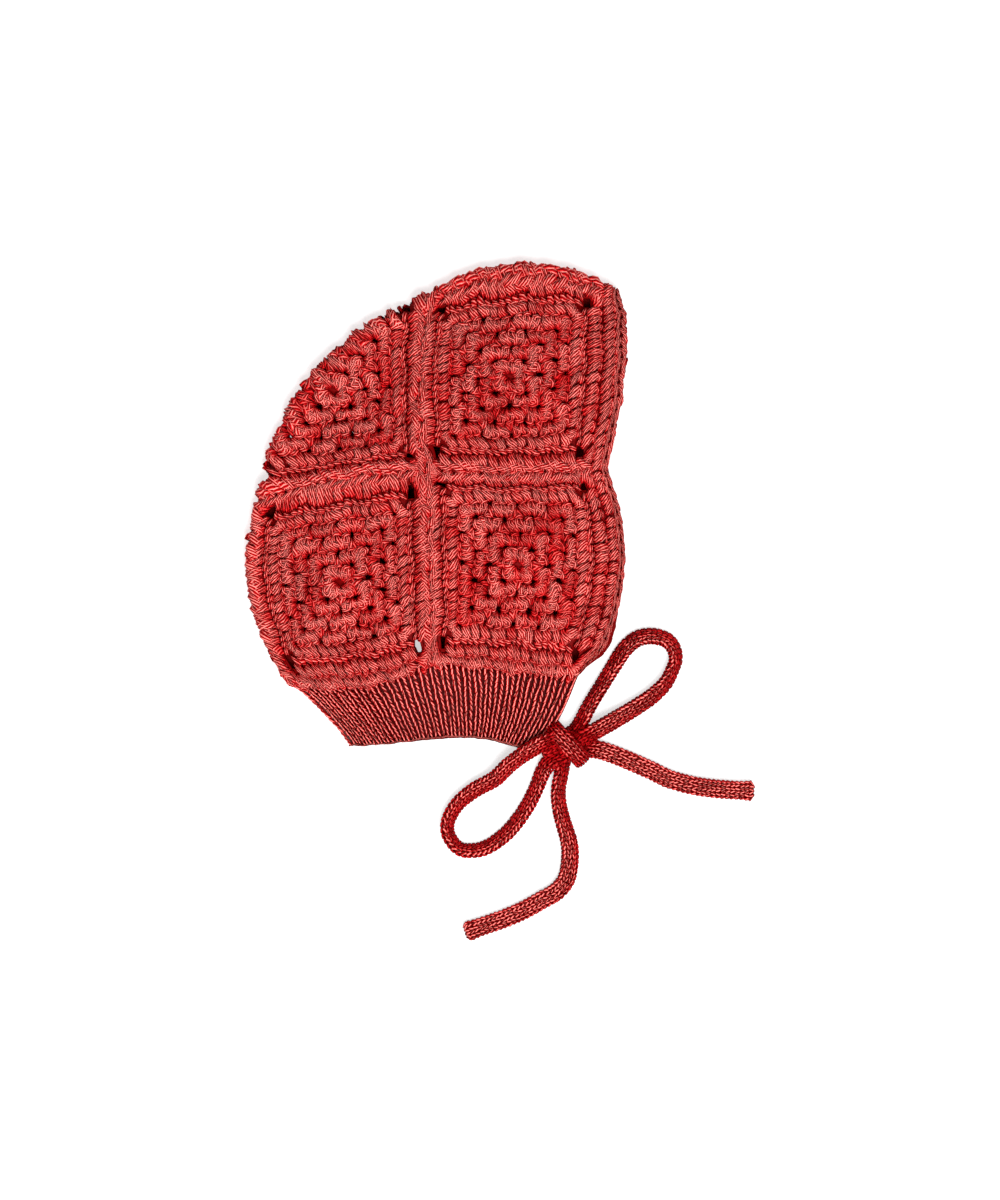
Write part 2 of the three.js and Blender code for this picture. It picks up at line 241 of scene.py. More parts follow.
def surface(along, up, near):
    """Where points of the crochet's middle lie, and which way its outside faces there."""
    step = 0.01
    here = plan_at(along, up)
    last = np.where(up < 0, 2.0, 2 + EDGING)
    sideways = np.where(along + step > last, -step, step)
    crown = (along < 1) & (up > 1)
    upward = np.where((up + step > 2) | crown, -step, step)
    ahead = (plan_at(along + sideways, up) - here) / sideways[:, None]
    above = (plan_at(along, up + upward) - here) / upward[:, None]
    area = ahead[:, 0] * above[:, 1] - ahead[:, 1] * above[:, 0]
    area = np.where(np.abs(area) < 1e-9, 1e-9, area)

    def slope(field):
        di = (field(along + step, up) - field(along - step, up)) / (2 * step)
        dj = (field(along, up + step) - field(along, up - step)) / (2 * step)
        return np.stack(
            [(di * above[:, 1] - dj * ahead[:, 1]) / area, (dj * ahead[:, 0] - di * above[:, 0]) / area], -1
        )

    outward = -slope(to_fold)
    outward /= np.linalg.norm(outward, axis=1, keepdims=True) + 1e-9
    closeness = 1 - np.minimum(to_fold(along, up) / FOLD_REACH, 1)
    rise = np.sqrt(1 - closeness**2)
    tilt = slope(dome_height)
    dome = np.stack([-tilt[:, 0], -tilt[:, 1], np.ones(len(along))], -1)
    dome /= np.linalg.norm(dome, axis=1, keepdims=True)
    face = np.where(near[:, None], dome, np.array([0.0, 0.0, -1.0]))
    side = np.concatenate([outward, np.zeros((len(along), 1))], 1)
    normal = face * rise[:, None] + side * closeness[:, None]
    normal /= np.linalg.norm(normal, axis=1, keepdims=True)
    level = np.where(near, dome_height(along, up), WALL / 2)
    peek = FAR_PEEK * smooth((along - 1.6) / 0.5) * smooth((0.45 - up) / 0.4) * smooth((up + 0.04) / 0.25)
    peek = np.where(near, 0.0, peek)
    point = np.stack(
        [here[:, 0] + peek, here[:, 1] - peek * 0.5, FOLD_LINE + (level - FOLD_LINE) * rise], -1
    )
    return point, normal


def unfold(along, up, near):
    """Carries coordinates past a fold round to the other half."""
    along, up, near = along.copy(), up.copy(), near.copy()
    top = up > 2
    up[top] = 4 - up[top]
    near[top] = ~near[top]
    back = along < 0
    along[back] = -along[back]
    near[back] = ~near[back]
    crown = (along < 1) & (up > 1) & (up - 1 > along)
    a, b = along[crown], up[crown] - 1
    along[crown], up[crown] = b, 1 + a
    near[crown] = ~near[crown]
    return along, up, near


def folded(flat, locate, near):
    """Bends a flat pattern, x and y along the crochet and z out from its middle, onto one half."""
    along, up = locate(flat[:, 0], flat[:, 1])
    side = np.full(len(flat), near)
    along, up, side = unfold(along, up, side)
    along = np.clip(along, 0, 2 + EDGING + 0.03)
    up = np.clip(up, -BAND - 0.02, 2)
    out = flat[:, 2].copy()
    crown = (along < 1) & (up > 1)
    out[crown] += CROWN_SWELL * (1 - smooth(to_fold(along[crown], up[crown]) / CROWN_SWELL_REACH))
    flat_far = ~side & (out > 0)
    out[flat_far] *= FAR_PRESS
    point, normal = surface(along, up, side)
    place = point + normal * out[:, None]
    place[:, 2] = np.maximum(place[:, 2], JUST_ABOVE)
    return place


# Yarn: three plies twisted into a closed tube. A stitch is a small mesh of such strands, at its real size

TWIST = 2 * math.pi / (12 * MM)
STRAND_END = 0.6
STRAND_FLATNESS = 0.92


def spline_point(p0, p1, p2, p3, t):
    """A point between p1 and p2, on the smooth curve through four points."""
    bend = 2 * p0 - 5 * p1 + 4 * p2 - p3
    twist = 3 * p1 - p0 - 3 * p2 + p3
    return 0.5 * (2 * p1 + (p2 - p0) * t + bend * t**2 + twist * t**3)


def with_ends(points):
    """The points, with one more past each end."""
    return np.vstack([2 * points[0] - points[1], points, 2 * points[-1] - points[-2]])


def eased(points, count):
    """A smooth curve through some points, at even steps."""
    points = np.array(points, float)
    ends = with_ends(points)
    spans = len(points) - 1
    out = []
    for t in np.linspace(0, spans, count):
        i = min(int(t), spans - 1)
        out.append(spline_point(*ends[i : i + 4], t - i))
    return np.array(out)


def strand(points, radius, count=5, start=0.0, sides=6, taper=1.0, plies=None):
    """Vertices, faces and coordinates of a plied strand: lengthwise in millimetres, and round it in plies.

    Its path runs through the points, in millimetres, and its radius, in metres, narrows to both ends.
    """
    path = eased(np.array(points) * MM, count)
    tangents = np.gradient(path, axis=0)
    tangents /= np.linalg.norm(tangents, axis=1, keepdims=True)
    lengths = np.concatenate([[0], np.cumsum(np.linalg.norm(np.diff(path, axis=0), axis=1))])
    across = np.cross(tangents, np.array([0.0, 0.0, 1.0]))
    across /= np.linalg.norm(across, axis=1, keepdims=True) + 1e-9
    rise = np.cross(across, tangents)
    angles = np.arange(sides) / sides * 2 * math.pi + start + (lengths * TWIST)[:, None]
    radii = radius * np.linspace(taper, 1, len(path))[:, None] * np.ones((1, sides))
    radii[[0, -1]] *= STRAND_END
    rings = (
        path[:, None]
        + across[:, None] * (np.cos(angles) * radii)[..., None]
        + rise[:, None] * (np.sin(angles) * radii * STRAND_FLATNESS)[..., None]
    )
    verts = rings.reshape(-1, 3)
    each = (plies or sides) / sides
    faces, uvs = [], []
    for i in range(len(path) - 1):
        u0, u1 = lengths[i] / MM, lengths[i + 1] / MM
        for k in range(sides):
            m = (k + 1) % sides
            faces.append([i * sides + k, i * sides + m, (i + 1) * sides + m, (i + 1) * sides + k])
            v0, v1 = k * each, (k + 1) * each
            uvs.append([(u0, v0), (u0, v1), (u1, v1), (u1, v0)])
    last = (len(path) - 1) * sides
    faces.append([*range(sides)][::-1])
    uvs.append([(0.0, k * each) for k in range(sides)][::-1])
    faces.append([last + k for k in range(sides)])
    uvs.append([(lengths[-1] / MM, k * each) for k in range(sides)])
    return verts, faces, uvs


def merged(parts):
    """Some strands as one mesh's vertices, faces and coordinates."""
    verts, faces, uvs = [], [], []
    base = 0
    for part_verts, part_faces, part_uvs in parts:
        verts.append(part_verts)
        faces += [[base + i for i in face] for face in part_faces]
        uvs += part_uvs
        base += len(part_verts)
    return np.concatenate(verts), faces, uvs


def mesh_object(name, verts, faces, uvs=None):
    mesh = bpy.data.meshes.new(name)
    mesh.from_pydata([tuple(v) for v in verts], [], faces)
    if uvs is not None:
        layer = mesh.uv_layers.new(name="strand")
        layer.data.foreach_set("uv", np.array([uv for face in uvs for uv in face], np.float32).ravel())
    mesh.update()
    obj = bpy.data.objects.new(name, mesh)
    bpy.context.scene.collection.objects.link(obj)
    return obj


VARIANTS = 6


def cluster_stitch(random):
    """Three plump stitches that spread out from one hole: two strands each, a wrap and a top loop."""
    parts = []

    def about(amount):
        return random.uniform(-amount, amount)

    for post in (-1, 0, 1):
        lift = random.uniform(0.88, 1.12)
        top = post * 3.4 + about(0.2)
        reach = 5.3 - 0.45 * abs(post) + about(0.15)
        for side in (-1, 1):
            path = [
                (post * 1.2 + side * 0.4, 0.95 - 0.55 * abs(post), 0.5),
                (post * 2.0 + side * 0.8 + about(0.1), 1.9, 1.15 * lift),
                (post * 2.9 + side * 0.92 + about(0.1), 3.5, (1.4 - 0.1 * side) * lift),
                (top + side * 0.55, reach, 0.9),
            ]
            parts.append(strand(path, 1.0 * MM, 5, about(3), 7, taper=0.66))
        x = top * 0.94
        loop = [
            (x - 1.5, reach - 0.3, 0.5),
            (x - 0.5, reach + 0.2, 1.3 * lift),
            (x + 0.6, reach + 0.25, 1.25 * lift),
            (x + 1.4, reach - 0.1, 0.5),
        ]
        parts.append(strand(loop, 0.74 * MM, 5, about(3)))
        x = post * 2.5 + about(0.2)
        wrap = [
            (x + 1.15, 1.7, 0.7),
            (x + 0.4, 2.4, 1.75 * lift),
            (x - 0.5, 3.3, 1.75 * lift),
            (x - 1.3, 4.1, 0.8),
        ]
        parts.append(strand(wrap, 0.66 * MM, 4, about(3)))
    for side in (-1, 1):
        path = [(side * 3.5, 0.1, 0.4), (side * 4.4, 1.4, 1.05), (side * 5.1, 3.3, 0.8)]
        parts.append(strand(path, 1.0 * MM, 4, about(3)))
    return merged(parts)


def short_stitch(random, height):
    """One plump stitch: two slanted strands under a top loop."""
    lean = random.uniform(-0.2, 0.2)
    lift = random.uniform(0.9, 1.1)
    parts = []
    for shift in (-0.7, 0.7):
        path = [
            (shift * 0.8 + 0.6, -0.2, 0.1),
            (shift + 0.45, height * 0.25, 1.25 * lift),
            (shift - 0.35 + lean, height * 0.7, 1.5 * lift),
            (shift * 0.7 - 0.6 + lean, height * 0.97, 0.4),
        ]
        parts.append(strand(path, 0.98 * MM, 5, random.uniform(0, 6), 7))
    top = [
        (-1.5, height * 0.86, 0.4),
        (-0.4, height, 1.3 * lift),
        (0.7, height * 0.97, 1.25 * lift),
        (1.5, height * 0.78, 0.4),
    ]
    parts.append(strand(top, 0.72 * MM, 5, random.uniform(0, 6)))
    return merged(parts)


def ridge_stitch(random):
    """One link of the raised line round a square."""
    slant = random.uniform(0.65, 0.85)
    path = [(1.35, -slant, 0.2), (0.65, -slant * 0.5, 1.35), (-0.6, slant * 0.5, 1.4), (-1.35, slant, 0.2)]
    return merged([strand(path, 0.78 * MM, 5, random.uniform(0, 6))])


def leg_stitch(random, side):
    """One slanted plump leg of a braid, from its outer edge to the middle."""
    sway = random.uniform(-0.15, 0.15)
    path = [
        (-4.1, 2.9, 0.1),
        (-2.7, 2.55, 1.25),
        (0.0, 1.75 + sway, 1.7),
        (2.6, 0.85 + sway * 0.5, 1.55),
        (4.1, 0.2, 0.3),
    ]
    path = [(x, y * side, z) for x, y, z in path]
    return merged([strand(path, 1.12 * MM, 8, random.uniform(0, 6), 7)])


def knit_stitch(random, outer, inner, height, radius):
    """One knitted stitch: two legs that lean together in a V."""
    parts = []
    for side in (-1, 1):
        middle = (outer + inner) / 2
        path = [
            (side * outer, height * 0.62, 0.1),
            (side * (middle + 0.12), height * 0.22, 0.5),
            (side * (middle - 0.12), -height * 0.2, 0.55),
            (side * inner, -height * 0.6, 0.1),
        ]
        parts.append(strand(path, radius * MM, 4, random.uniform(0, 6), 6, plies=3))
    return merged(parts)


STITCHES = "Stitches"
MAKERS = {
    "cluster": cluster_stitch,
    "short": lambda source: short_stitch(source, 4.3),
    "tall": lambda source: short_stitch(source, 4.7),
    "ridge": ridge_stitch,
    "leg": lambda source: leg_stitch(source, 1),
    "other_leg": lambda source: leg_stitch(source, -1),
    "rib": lambda source: knit_stitch(source, 1.8, 0.82, 1.85, 0.6),
    "tie": lambda source: knit_stitch(source, 0.78, 0.28, 1.75, 0.42),
}
KINDS = {name: number * VARIANTS for number, name in enumerate(MAKERS)}


def stitch_collection():
    """The stitches that the flat patterns are made of, named so that they sort in the order of KINDS."""
    if STITCHES in bpy.data.collections:
        return bpy.data.collections[STITCHES]
    random = np.random.default_rng(7)
    collection = bpy.data.collections.new(STITCHES)
    bpy.context.scene.collection.children.link(collection)
    designs = [(name, make(random)) for name, make in MAKERS.items() for _ in range(VARIANTS)]
    for number, (name, (verts, faces, uvs)) in enumerate(designs):
        obj = mesh_object(f"{number:02d}_{name}", verts, faces, uvs)
        bpy.context.scene.collection.objects.unlink(obj)
        collection.objects.link(obj)
    return collection


def remove_stitches():
    """Removes the collection again, once every pattern is baked."""
    collection = stitch_collection()
    for obj in list(collection.objects):
        bpy.data.objects.remove(obj)
    bpy.data.collections.remove(collection)


def laid_stitches_tree():
    """Geometry Nodes that lay one stitch on each point of a flat pattern."""
    tree = bpy.data.node_groups.new("Laid stitches", "GeometryNodeTree")
    face = tree.interface
    face.new_socket("Geometry", in_out="INPUT", socket_type="NodeSocketGeometry")
    face.new_socket("Stitches", in_out="INPUT", socket_type="NodeSocketCollection")
    face.new_socket("Material", in_out="INPUT", socket_type="NodeSocketMaterial")
    face.new_socket("Unevenness", in_out="INPUT", socket_type="NodeSocketFloat")
    face.new_socket("Seed", in_out="INPUT", socket_type="NodeSocketInt")
    face.new_socket("Geometry", in_out="OUTPUT", socket_type="NodeSocketGeometry")
    nodes, links = tree.nodes, tree.links
    given = nodes.new("NodeGroupInput")
    result = nodes.new("NodeGroupOutput")

    def named(name, data_type):
        node = nodes.new("GeometryNodeInputNamedAttribute")
        node.data_type = data_type
        node.inputs["Name"].default_value = name
        return node.outputs["Attribute"]

    stitches = nodes.new("GeometryNodeCollectionInfo")
    stitches.inputs["Separate Children"].default_value = True
    links.new(given.outputs["Stitches"], stitches.inputs["Collection"])
    uneven = nodes.new("FunctionNodeRandomValue")
    uneven.data_type = "FLOAT_VECTOR"
    low = nodes.new("ShaderNodeVectorMath")
    low.operation = "SCALE"
    low.inputs[0].default_value = (-1, -1, -1)
    high = nodes.new("ShaderNodeVectorMath")
    high.operation = "SCALE"
    high.inputs[0].default_value = (1, 1, 1)
    links.new(given.outputs["Unevenness"], low.inputs["Scale"])
    links.new(given.outputs["Unevenness"], high.inputs["Scale"])
    links.new(low.outputs[0], uneven.inputs["Min"])
    links.new(high.outputs[0], uneven.inputs["Max"])
    links.new(given.outputs["Seed"], uneven.inputs["Seed"])
    turn = nodes.new("ShaderNodeCombineXYZ")
    split = nodes.new("ShaderNodeSeparateXYZ")
    links.new(uneven.outputs[0], split.inputs[0])
    sway = nodes.new("ShaderNodeMath")
    sway.operation = "ADD"
    links.new(named("turn", "FLOAT"), sway.inputs[0])
    links.new(split.outputs["Z"], sway.inputs[1])
    links.new(sway.outputs[0], turn.inputs["Z"])
    links.new(split.outputs["Y"], turn.inputs["Y"])
    lay = nodes.new("GeometryNodeInstanceOnPoints")
    lay.inputs["Pick Instance"].default_value = True
    links.new(given.outputs["Geometry"], lay.inputs["Points"])
    links.new(stitches.outputs["Instances"], lay.inputs["Instance"])
    links.new(named("kind", "INT"), lay.inputs["Instance Index"])
    links.new(turn.outputs[0], lay.inputs["Rotation"])
    links.new(named("size", "FLOAT_VECTOR"), lay.inputs["Scale"])
    real = nodes.new("GeometryNodeRealizeInstances")
    finish = nodes.new("GeometryNodeSetMaterial")
    links.new(lay.outputs["Instances"], real.inputs["Geometry"])
    links.new(real.outputs["Geometry"], finish.inputs["Geometry"])
    links.new(given.outputs["Material"], finish.inputs["Material"])
    links.new(finish.outputs["Geometry"], result.inputs["Geometry"])
    return tree


class Pattern:
    """A flat pattern: one row for each stitch, with its place, turn, size and kind."""

    def __init__(self, seed):
        self.rows = []
        self.random = np.random.default_rng(seed)

    def add(self, name, x, y, turn=0.0, size=(1, 1, 1), z=0.0):
        kind = KINDS[name] + int(self.random.integers(VARIANTS))
        self.rows.append((x, y, z, turn, *size, kind))

    def add_turned(self, angle, name, x, y, turn=0.0, size=(1, 1, 1)):
        """Adds a stitch after turning its place about the pattern's middle."""
        c, s = math.cos(angle), math.sin(angle)
        self.add(name, x * c - y * s, x * s + y * c, angle + turn, size)

    def bake(self, name, material, unevenness=0.06):
        """The pattern's stitches as one mesh: places, faces, strand coordinates and tone."""
        table = np.array(self.rows, float)
        mesh = bpy.data.meshes.new(name + "_pattern")
        mesh.vertices.add(len(table))
        mesh.vertices.foreach_set("co", table[:, :3].ravel())
        sizes = mesh.attributes.new("size", "FLOAT_VECTOR", "POINT")
        sizes.data.foreach_set("vector", table[:, 4:7].ravel())
        mesh.attributes.new("turn", "FLOAT", "POINT").data.foreach_set("value", table[:, 3])
        mesh.attributes.new("kind", "INT", "POINT").data.foreach_set("value", table[:, 7].astype(int))
        tone = self.random.uniform(0, 1, len(table))
        mesh.attributes.new("tone", "FLOAT", "POINT").data.foreach_set("value", tone)
        obj = bpy.data.objects.new(name, mesh)
        bpy.context.scene.collection.objects.link(obj)
        tree = bpy.data.node_groups.get("Laid stitches") or laid_stitches_tree()
        modifier = obj.modifiers.new("stitches", "NODES")
        modifier.node_group = tree
        inputs = [item for item in tree.interface.items_tree if item.in_out == "INPUT"]
        sockets = {item.name: item.identifier for item in inputs}
        modifier[sockets["Stitches"]] = stitch_collection()
        modifier[sockets["Material"]] = material
        modifier[sockets["Unevenness"]] = unevenness
        modifier[sockets["Seed"]] = int(self.random.integers(1000))
        graph = bpy.context.evaluated_depsgraph_get()
        baked = bpy.data.meshes.new_from_object(obj.evaluated_get(graph))
        bpy.data.objects.remove(obj)
        bpy.data.meshes.remove(mesh)
        baked.name = name
        return baked


def places_of(mesh):
    """A mesh's vertices as rows of x, y and z."""
    co = np.empty(len(mesh.vertices) * 3, np.float32)
    mesh.vertices.foreach_get("co", co)
    return co.reshape(-1, 3).astype(float)


# Height at which a point is painted fully lit
FULL_LIFT = 2.5 * MM


def set_lift(mesh, out):
    """Keeps how far each point stands out, as its share of painted light: low points are painted in shade, high ones
    lit.
    """
    lift = mesh.attributes.get("lift") or mesh.attributes.new("lift", "FLOAT", "POINT")
    lift.data.foreach_set("value", np.clip(out / FULL_LIFT, 0, 1).astype(np.float32))


# Wavelength, sideways shift and lump of each size of wave in handmade cloth, in millimetres
HAND_WAVES = ((15, 0.45, 0.3), (8, 0.3, 0.25), (5, 0.16, 0.2))


def handmade(flat, random, amount=1.0):
    """Small smooth shifts and lumps, as in work made by hand."""
    out = flat.copy()
    for wavelength, shift, lump in HAND_WAVES:
        for _ in range(4):
            angle = random.uniform(0, 2 * math.pi)
            phase = random.uniform(0, 2 * math.pi, 3)
            travelled = flat[:, 0] * math.cos(angle) + flat[:, 1] * math.sin(angle)
            wave = 2 * math.pi * travelled / (wavelength * MM)
            for axis, size in ((0, shift), (1, shift), (2, lump)):
                out[:, axis] += amount * size * 0.5 * MM * np.sin(wave + phase[axis])
    return out


def folded_object(name, mesh, locate, near, painted_light_scale=1.0, uneven=1.0):
    """A flat mesh bent onto the bonnet, with painted shade and light set by how far each point stands out.

    The same waves run through everything that is worked together, so cloth and stitches stay together.
    The far half is the near one's mirror, so its faces are turned over.
    """
    flat = places_of(mesh)
    set_lift(mesh, flat[:, 2] * painted_light_scale)
    flat = handmade(flat, np.random.default_rng(5), uneven)
    mesh.vertices.foreach_set("co", folded(flat, locate, near).astype(np.float32).ravel())
    if not near:
        mesh.flip_normals()
    mesh.update()
    obj = bpy.data.objects.new(name, mesh)
    bpy.context.scene.collection.objects.link(obj)
    return obj


def sheet_mesh(name, xs, ys, low, high, material, open_cell=lambda i, j: False):
    """A wall over a grid, from low to high, with some cells cut through."""
    verts, faces, index = [], [], {}

    def vertex(i, j, z):
        key = (i, j, z)
        if key not in index:
            index[key] = len(verts)
            verts.append((xs[i], ys[j], z))
        return index[key]

    def solid(i, j):
        return 0 <= i < len(xs) - 1 and 0 <= j < len(ys) - 1 and not open_cell(i, j)

    for i in range(len(xs) - 1):
        for j in range(len(ys) - 1):
            if not solid(i, j):
                continue
            loop = [(i, j), (i + 1, j), (i + 1, j + 1), (i, j + 1)]
            upper = [vertex(u, v, high) for u, v in loop]
            lower = [vertex(u, v, low) for u, v in loop]
            faces.append(upper)
            faces.append(lower[::-1])
            beyond = [(i, j - 1), (i + 1, j), (i, j + 1), (i - 1, j)]
            for k, (u, v) in enumerate(beyond):
                if not solid(u, v):
                    m = (k + 1) % 4
                    faces.append([lower[k], lower[m], upper[m], upper[k]])
    mesh = bpy.data.meshes.new(name)
    mesh.from_pydata(verts, [], faces)
    mesh.materials.append(material)
    mesh.uv_layers.new(name="strand")
    mesh.attributes.new("tone", "FLOAT", "POINT")
    mesh.update()
    return mesh


def join(name, objects):
    """Joins some objects into the first, under one name."""
    first = objects[0]
    with bpy.context.temp_override(
        active_object=first, object=first, selected_objects=objects, selected_editable_objects=objects
    ):
        bpy.ops.object.join()
    first.name = name
    first.data.name = name
    return first


def finish_piece(obj, nodes):
    """Smooths a piece, attaches it to the root body and hides the parts that it stands for."""
    for polygon in obj.data.polygons:
        polygon.use_smooth = True
    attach(obj, "root")
    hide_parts(*nodes)


# Materials


def plied_yarn_group():
    """Shader group: the twist of a plied yarn, with painted shade between its plies and between stitches and a painted
    highlight on the crests of raised plies.
    """
    name = "Plied yarn"
    if name in bpy.data.node_groups:
        return bpy.data.node_groups[name]
    tree = bpy.data.node_groups.new(name, "ShaderNodeTree")
    for label in ("Painted shade", "Body", "Light"):
        tree.interface.new_socket(label, in_out="INPUT", socket_type="NodeSocketColor")
    tree.interface.new_socket("Ply pitch", in_out="INPUT", socket_type="NodeSocketFloat")
    tree.interface.new_socket("Color", in_out="OUTPUT", socket_type="NodeSocketColor")
    tree.interface.new_socket("Height", in_out="OUTPUT", socket_type="NodeSocketFloat")
    nodes, links = tree.nodes, tree.links
    given, result = nodes.new("NodeGroupInput"), nodes.new("NodeGroupOutput")

    def math_node(operation, a, b=None, c=None):
        node = nodes.new("ShaderNodeMath")
        node.operation = operation
        for socket, value in zip(node.inputs, (a, b, c)):
            if value is None:
                continue
            if isinstance(value, (int, float)):
                socket.default_value = value
            else:
                links.new(value, socket)
        return node.outputs[0]

    def mix(kind, factor, a, b):
        node = nodes.new("ShaderNodeMix")
        node.data_type = "RGBA"
        node.blend_type = kind
        sockets = [s for s in node.inputs if s.enabled]
        for socket, value in zip(sockets, (factor, a, b)):
            if isinstance(value, (int, float)):
                socket.default_value = value
            else:
                links.new(value, socket)
        return [s for s in node.outputs if s.enabled][0]

    uv = nodes.new("ShaderNodeUVMap")
    uv.uv_map = "strand"
    split = nodes.new("ShaderNodeSeparateXYZ")
    links.new(uv.outputs[0], split.inputs[0])
    lengthwise = math_node("DIVIDE", split.outputs["X"], given.outputs["Ply pitch"])
    around = split.outputs["Y"]
    crest = math_node("ABSOLUTE", math_node("COSINE", math_node("MULTIPLY", around, math.pi)))
    fibre_phase = math_node("MULTIPLY", math_node("ADD", lengthwise, around), 2 * math.pi)
    fibre = math_node("MULTIPLY_ADD", math_node("SINE", fibre_phase), 0.5, 0.5)
    coordinates = nodes.new("ShaderNodeTexCoord")
    fuzz = nodes.new("ShaderNodeTexNoise")
    fuzz.inputs["Scale"].default_value = 2600
    fuzz.inputs["Detail"].default_value = 2
    links.new(coordinates.outputs["Object"], fuzz.inputs["Vector"])
    blotch = nodes.new("ShaderNodeTexNoise")
    blotch.inputs["Scale"].default_value = 60
    links.new(coordinates.outputs["Object"], blotch.inputs["Vector"])
    lift = nodes.new("ShaderNodeAttribute")
    lift.attribute_name = "lift"
    tone = nodes.new("ShaderNodeAttribute")
    tone.attribute_name = "tone"
    # Painted light and shade: raised points and ply crests take the body colour and then the painted highlight, low
    # points and grooves the painted shade
    depth = math_node("POWER", lift.outputs["Fac"], 0.8)
    lit = math_node("MULTIPLY_ADD", depth, 0.95, 0.2)
    share = math_node("MULTIPLY", math_node("POWER", crest, 1.1), lit)
    low_share = math_node("MINIMUM", math_node("MULTIPLY", share, 2.0), 1.0)
    high_share = math_node("MAXIMUM", math_node("MULTIPLY_ADD", share, 2.0, -1.0), 0.0)
    base = mix("MIX", low_share, given.outputs["Painted shade"], given.outputs["Body"])
    shaded = mix("MIX", math_node("POWER", high_share, 3.8), base, given.outputs["Light"])
    varied = math_node("MULTIPLY_ADD", tone.outputs["Fac"], 0.22, 0.88)
    clouded = math_node("MULTIPLY_ADD", blotch.outputs["Fac"], 0.3, 0.87)
    value = math_node("MULTIPLY", varied, clouded)
    grey = nodes.new("ShaderNodeCombineColor")
    for socket in grey.inputs[:3]:
        links.new(value, socket)
    coloured = mix("MULTIPLY", 1.0, shaded, grey.outputs[0])
    links.new(coloured, result.inputs["Color"])
    height = math_node("ADD", crest, math_node("MULTIPLY", fibre, 0.15))
    height = math_node("ADD", height, math_node("MULTIPLY", fuzz.outputs["Fac"], 0.35))
    links.new(height, result.inputs["Height"])
    return tree


PLY_PITCH = 0.8
YARN_RELIEF = 0.35 * MM


def yarn_material(name, painted_shade, body, light, relief):
    """A plied yarn's material, made once for each name."""
    if name in bpy.data.materials:
        return bpy.data.materials[name]
    material = bpy.data.materials.new(name)
    material.use_nodes = True
    nodes, links = material.node_tree.nodes, material.node_tree.links
    shader = nodes["Principled BSDF"]
    shader.inputs["Roughness"].default_value = 0.5
    # Little real gloss: the crests' highlights are painted in through the yarn group's highlight colour
    shader.inputs["Specular IOR Level"].default_value = 0.03
    yarn = nodes.new("ShaderNodeGroup")
    yarn.node_tree = plied_yarn_group()
    yarn.inputs["Painted shade"].default_value = (*painted_shade, 1)
    yarn.inputs["Body"].default_value = (*body, 1)
    yarn.inputs["Light"].default_value = (*light, 1)
    yarn.inputs["Ply pitch"].default_value = PLY_PITCH
    bump = nodes.new("ShaderNodeBump")
    bump.inputs["Strength"].default_value = relief
    bump.inputs["Distance"].default_value = YARN_RELIEF
    links.new(yarn.outputs["Color"], shader.inputs["Base Color"])
    links.new(yarn.outputs["Height"], bump.inputs["Height"])
    links.new(bump.outputs["Normal"], shader.inputs["Normal"])
    return material


def cotton():
    """The squares', joins' and band's yarn."""
    colours = bpy.context.scene.bonnet_colours
    return yarn_material("Coral cotton", colours.painted_shade, colours.body, colours.light, 1.0)


def tie_cotton():
    """The ties are knitted finer, and look darker: the squares' colours times tie_shade, with their own painted
    highlight on the crests.
    """
    colours = bpy.context.scene.bonnet_colours
    painted_shade = tuple(part * colours.tie_shade for part in colours.painted_shade)
    body = tuple(part * colours.tie_shade for part in colours.body)
    return yarn_material("Tie cotton", painted_shade, body, colours.tie_painted_highlight, 1.0)


def backing(name="Cotton backing in painted shade", share=1.0):
    """The cloth behind the stitches, for the yarn that lies deeper, in the painted shade between them or a darker share
    of it.
    """
    colours = bpy.context.scene.bonnet_colours
    painted_shade = tuple(part * share for part in colours.painted_shade)
    body = tuple(part * share for part in colours.body)
    return yarn_material(name, painted_shade, painted_shade, body, 0.6)


# Cloth on the bonnet


def laid_cloth(node, kind, stitches, wall, locate, near, painted_light_scale=1.0, uneven=1.0):
    worked = folded_object(f"{node}_{kind}", stitches, locate, near, painted_light_scale, uneven)
    cloth = folded_object(f"{node}_backing", wall, locate, near, 1.0, uneven)
    finish_piece(worked, [node])
    finish_piece(cloth, [node])


# Crocheted squares

ROUNDS = 4
RING = 5.25 * MM
SHORTS = 13
SHORT_SPREAD = 46 * MM
LINKS = 20
LINK_SPREAD = 50.8 * MM
RIDGE_AT = 26.4 * MM
TALLS = 15
TALL_SPREAD = 52.4 * MM
HOLE = 1.0 * MM
EYELET = 27.4 * MM
EYELET_HALF = 1.5 * MM
SAME_PLACE = 0.2 * MM
UNDER_JOIN = 2.8 * MM


def spread(count, width):
    """Even places across a width, about its middle."""
    return [(k - (count - 1) / 2) * (width / count) for k in range(count)]


def cluster_rounds(pattern, angle):
    """One side of the rounds of clusters, from the middle out."""
    random = pattern.random
    for ring in range(1, ROUNDS + 1):
        base = (ring - 1) * RING if ring > 1 else 0.4 * MM
        tall = (ring * RING - base) / RING
        for k in range(ring):
            x = (k - (ring - 1) / 2) * 2 * RING
            jitter = random.uniform(-0.3, 0.3, 2) * MM
            width, height = random.uniform(0.96, 1.08), random.uniform(0.98, 1.08)
            size = (width, tall * height, random.uniform(0.85, 1.15))
            turn = random.uniform(-0.05, 0.05)
            pattern.add_turned(angle, "cluster", x + jitter[0], base + jitter[1] * 0.5, turn, size)


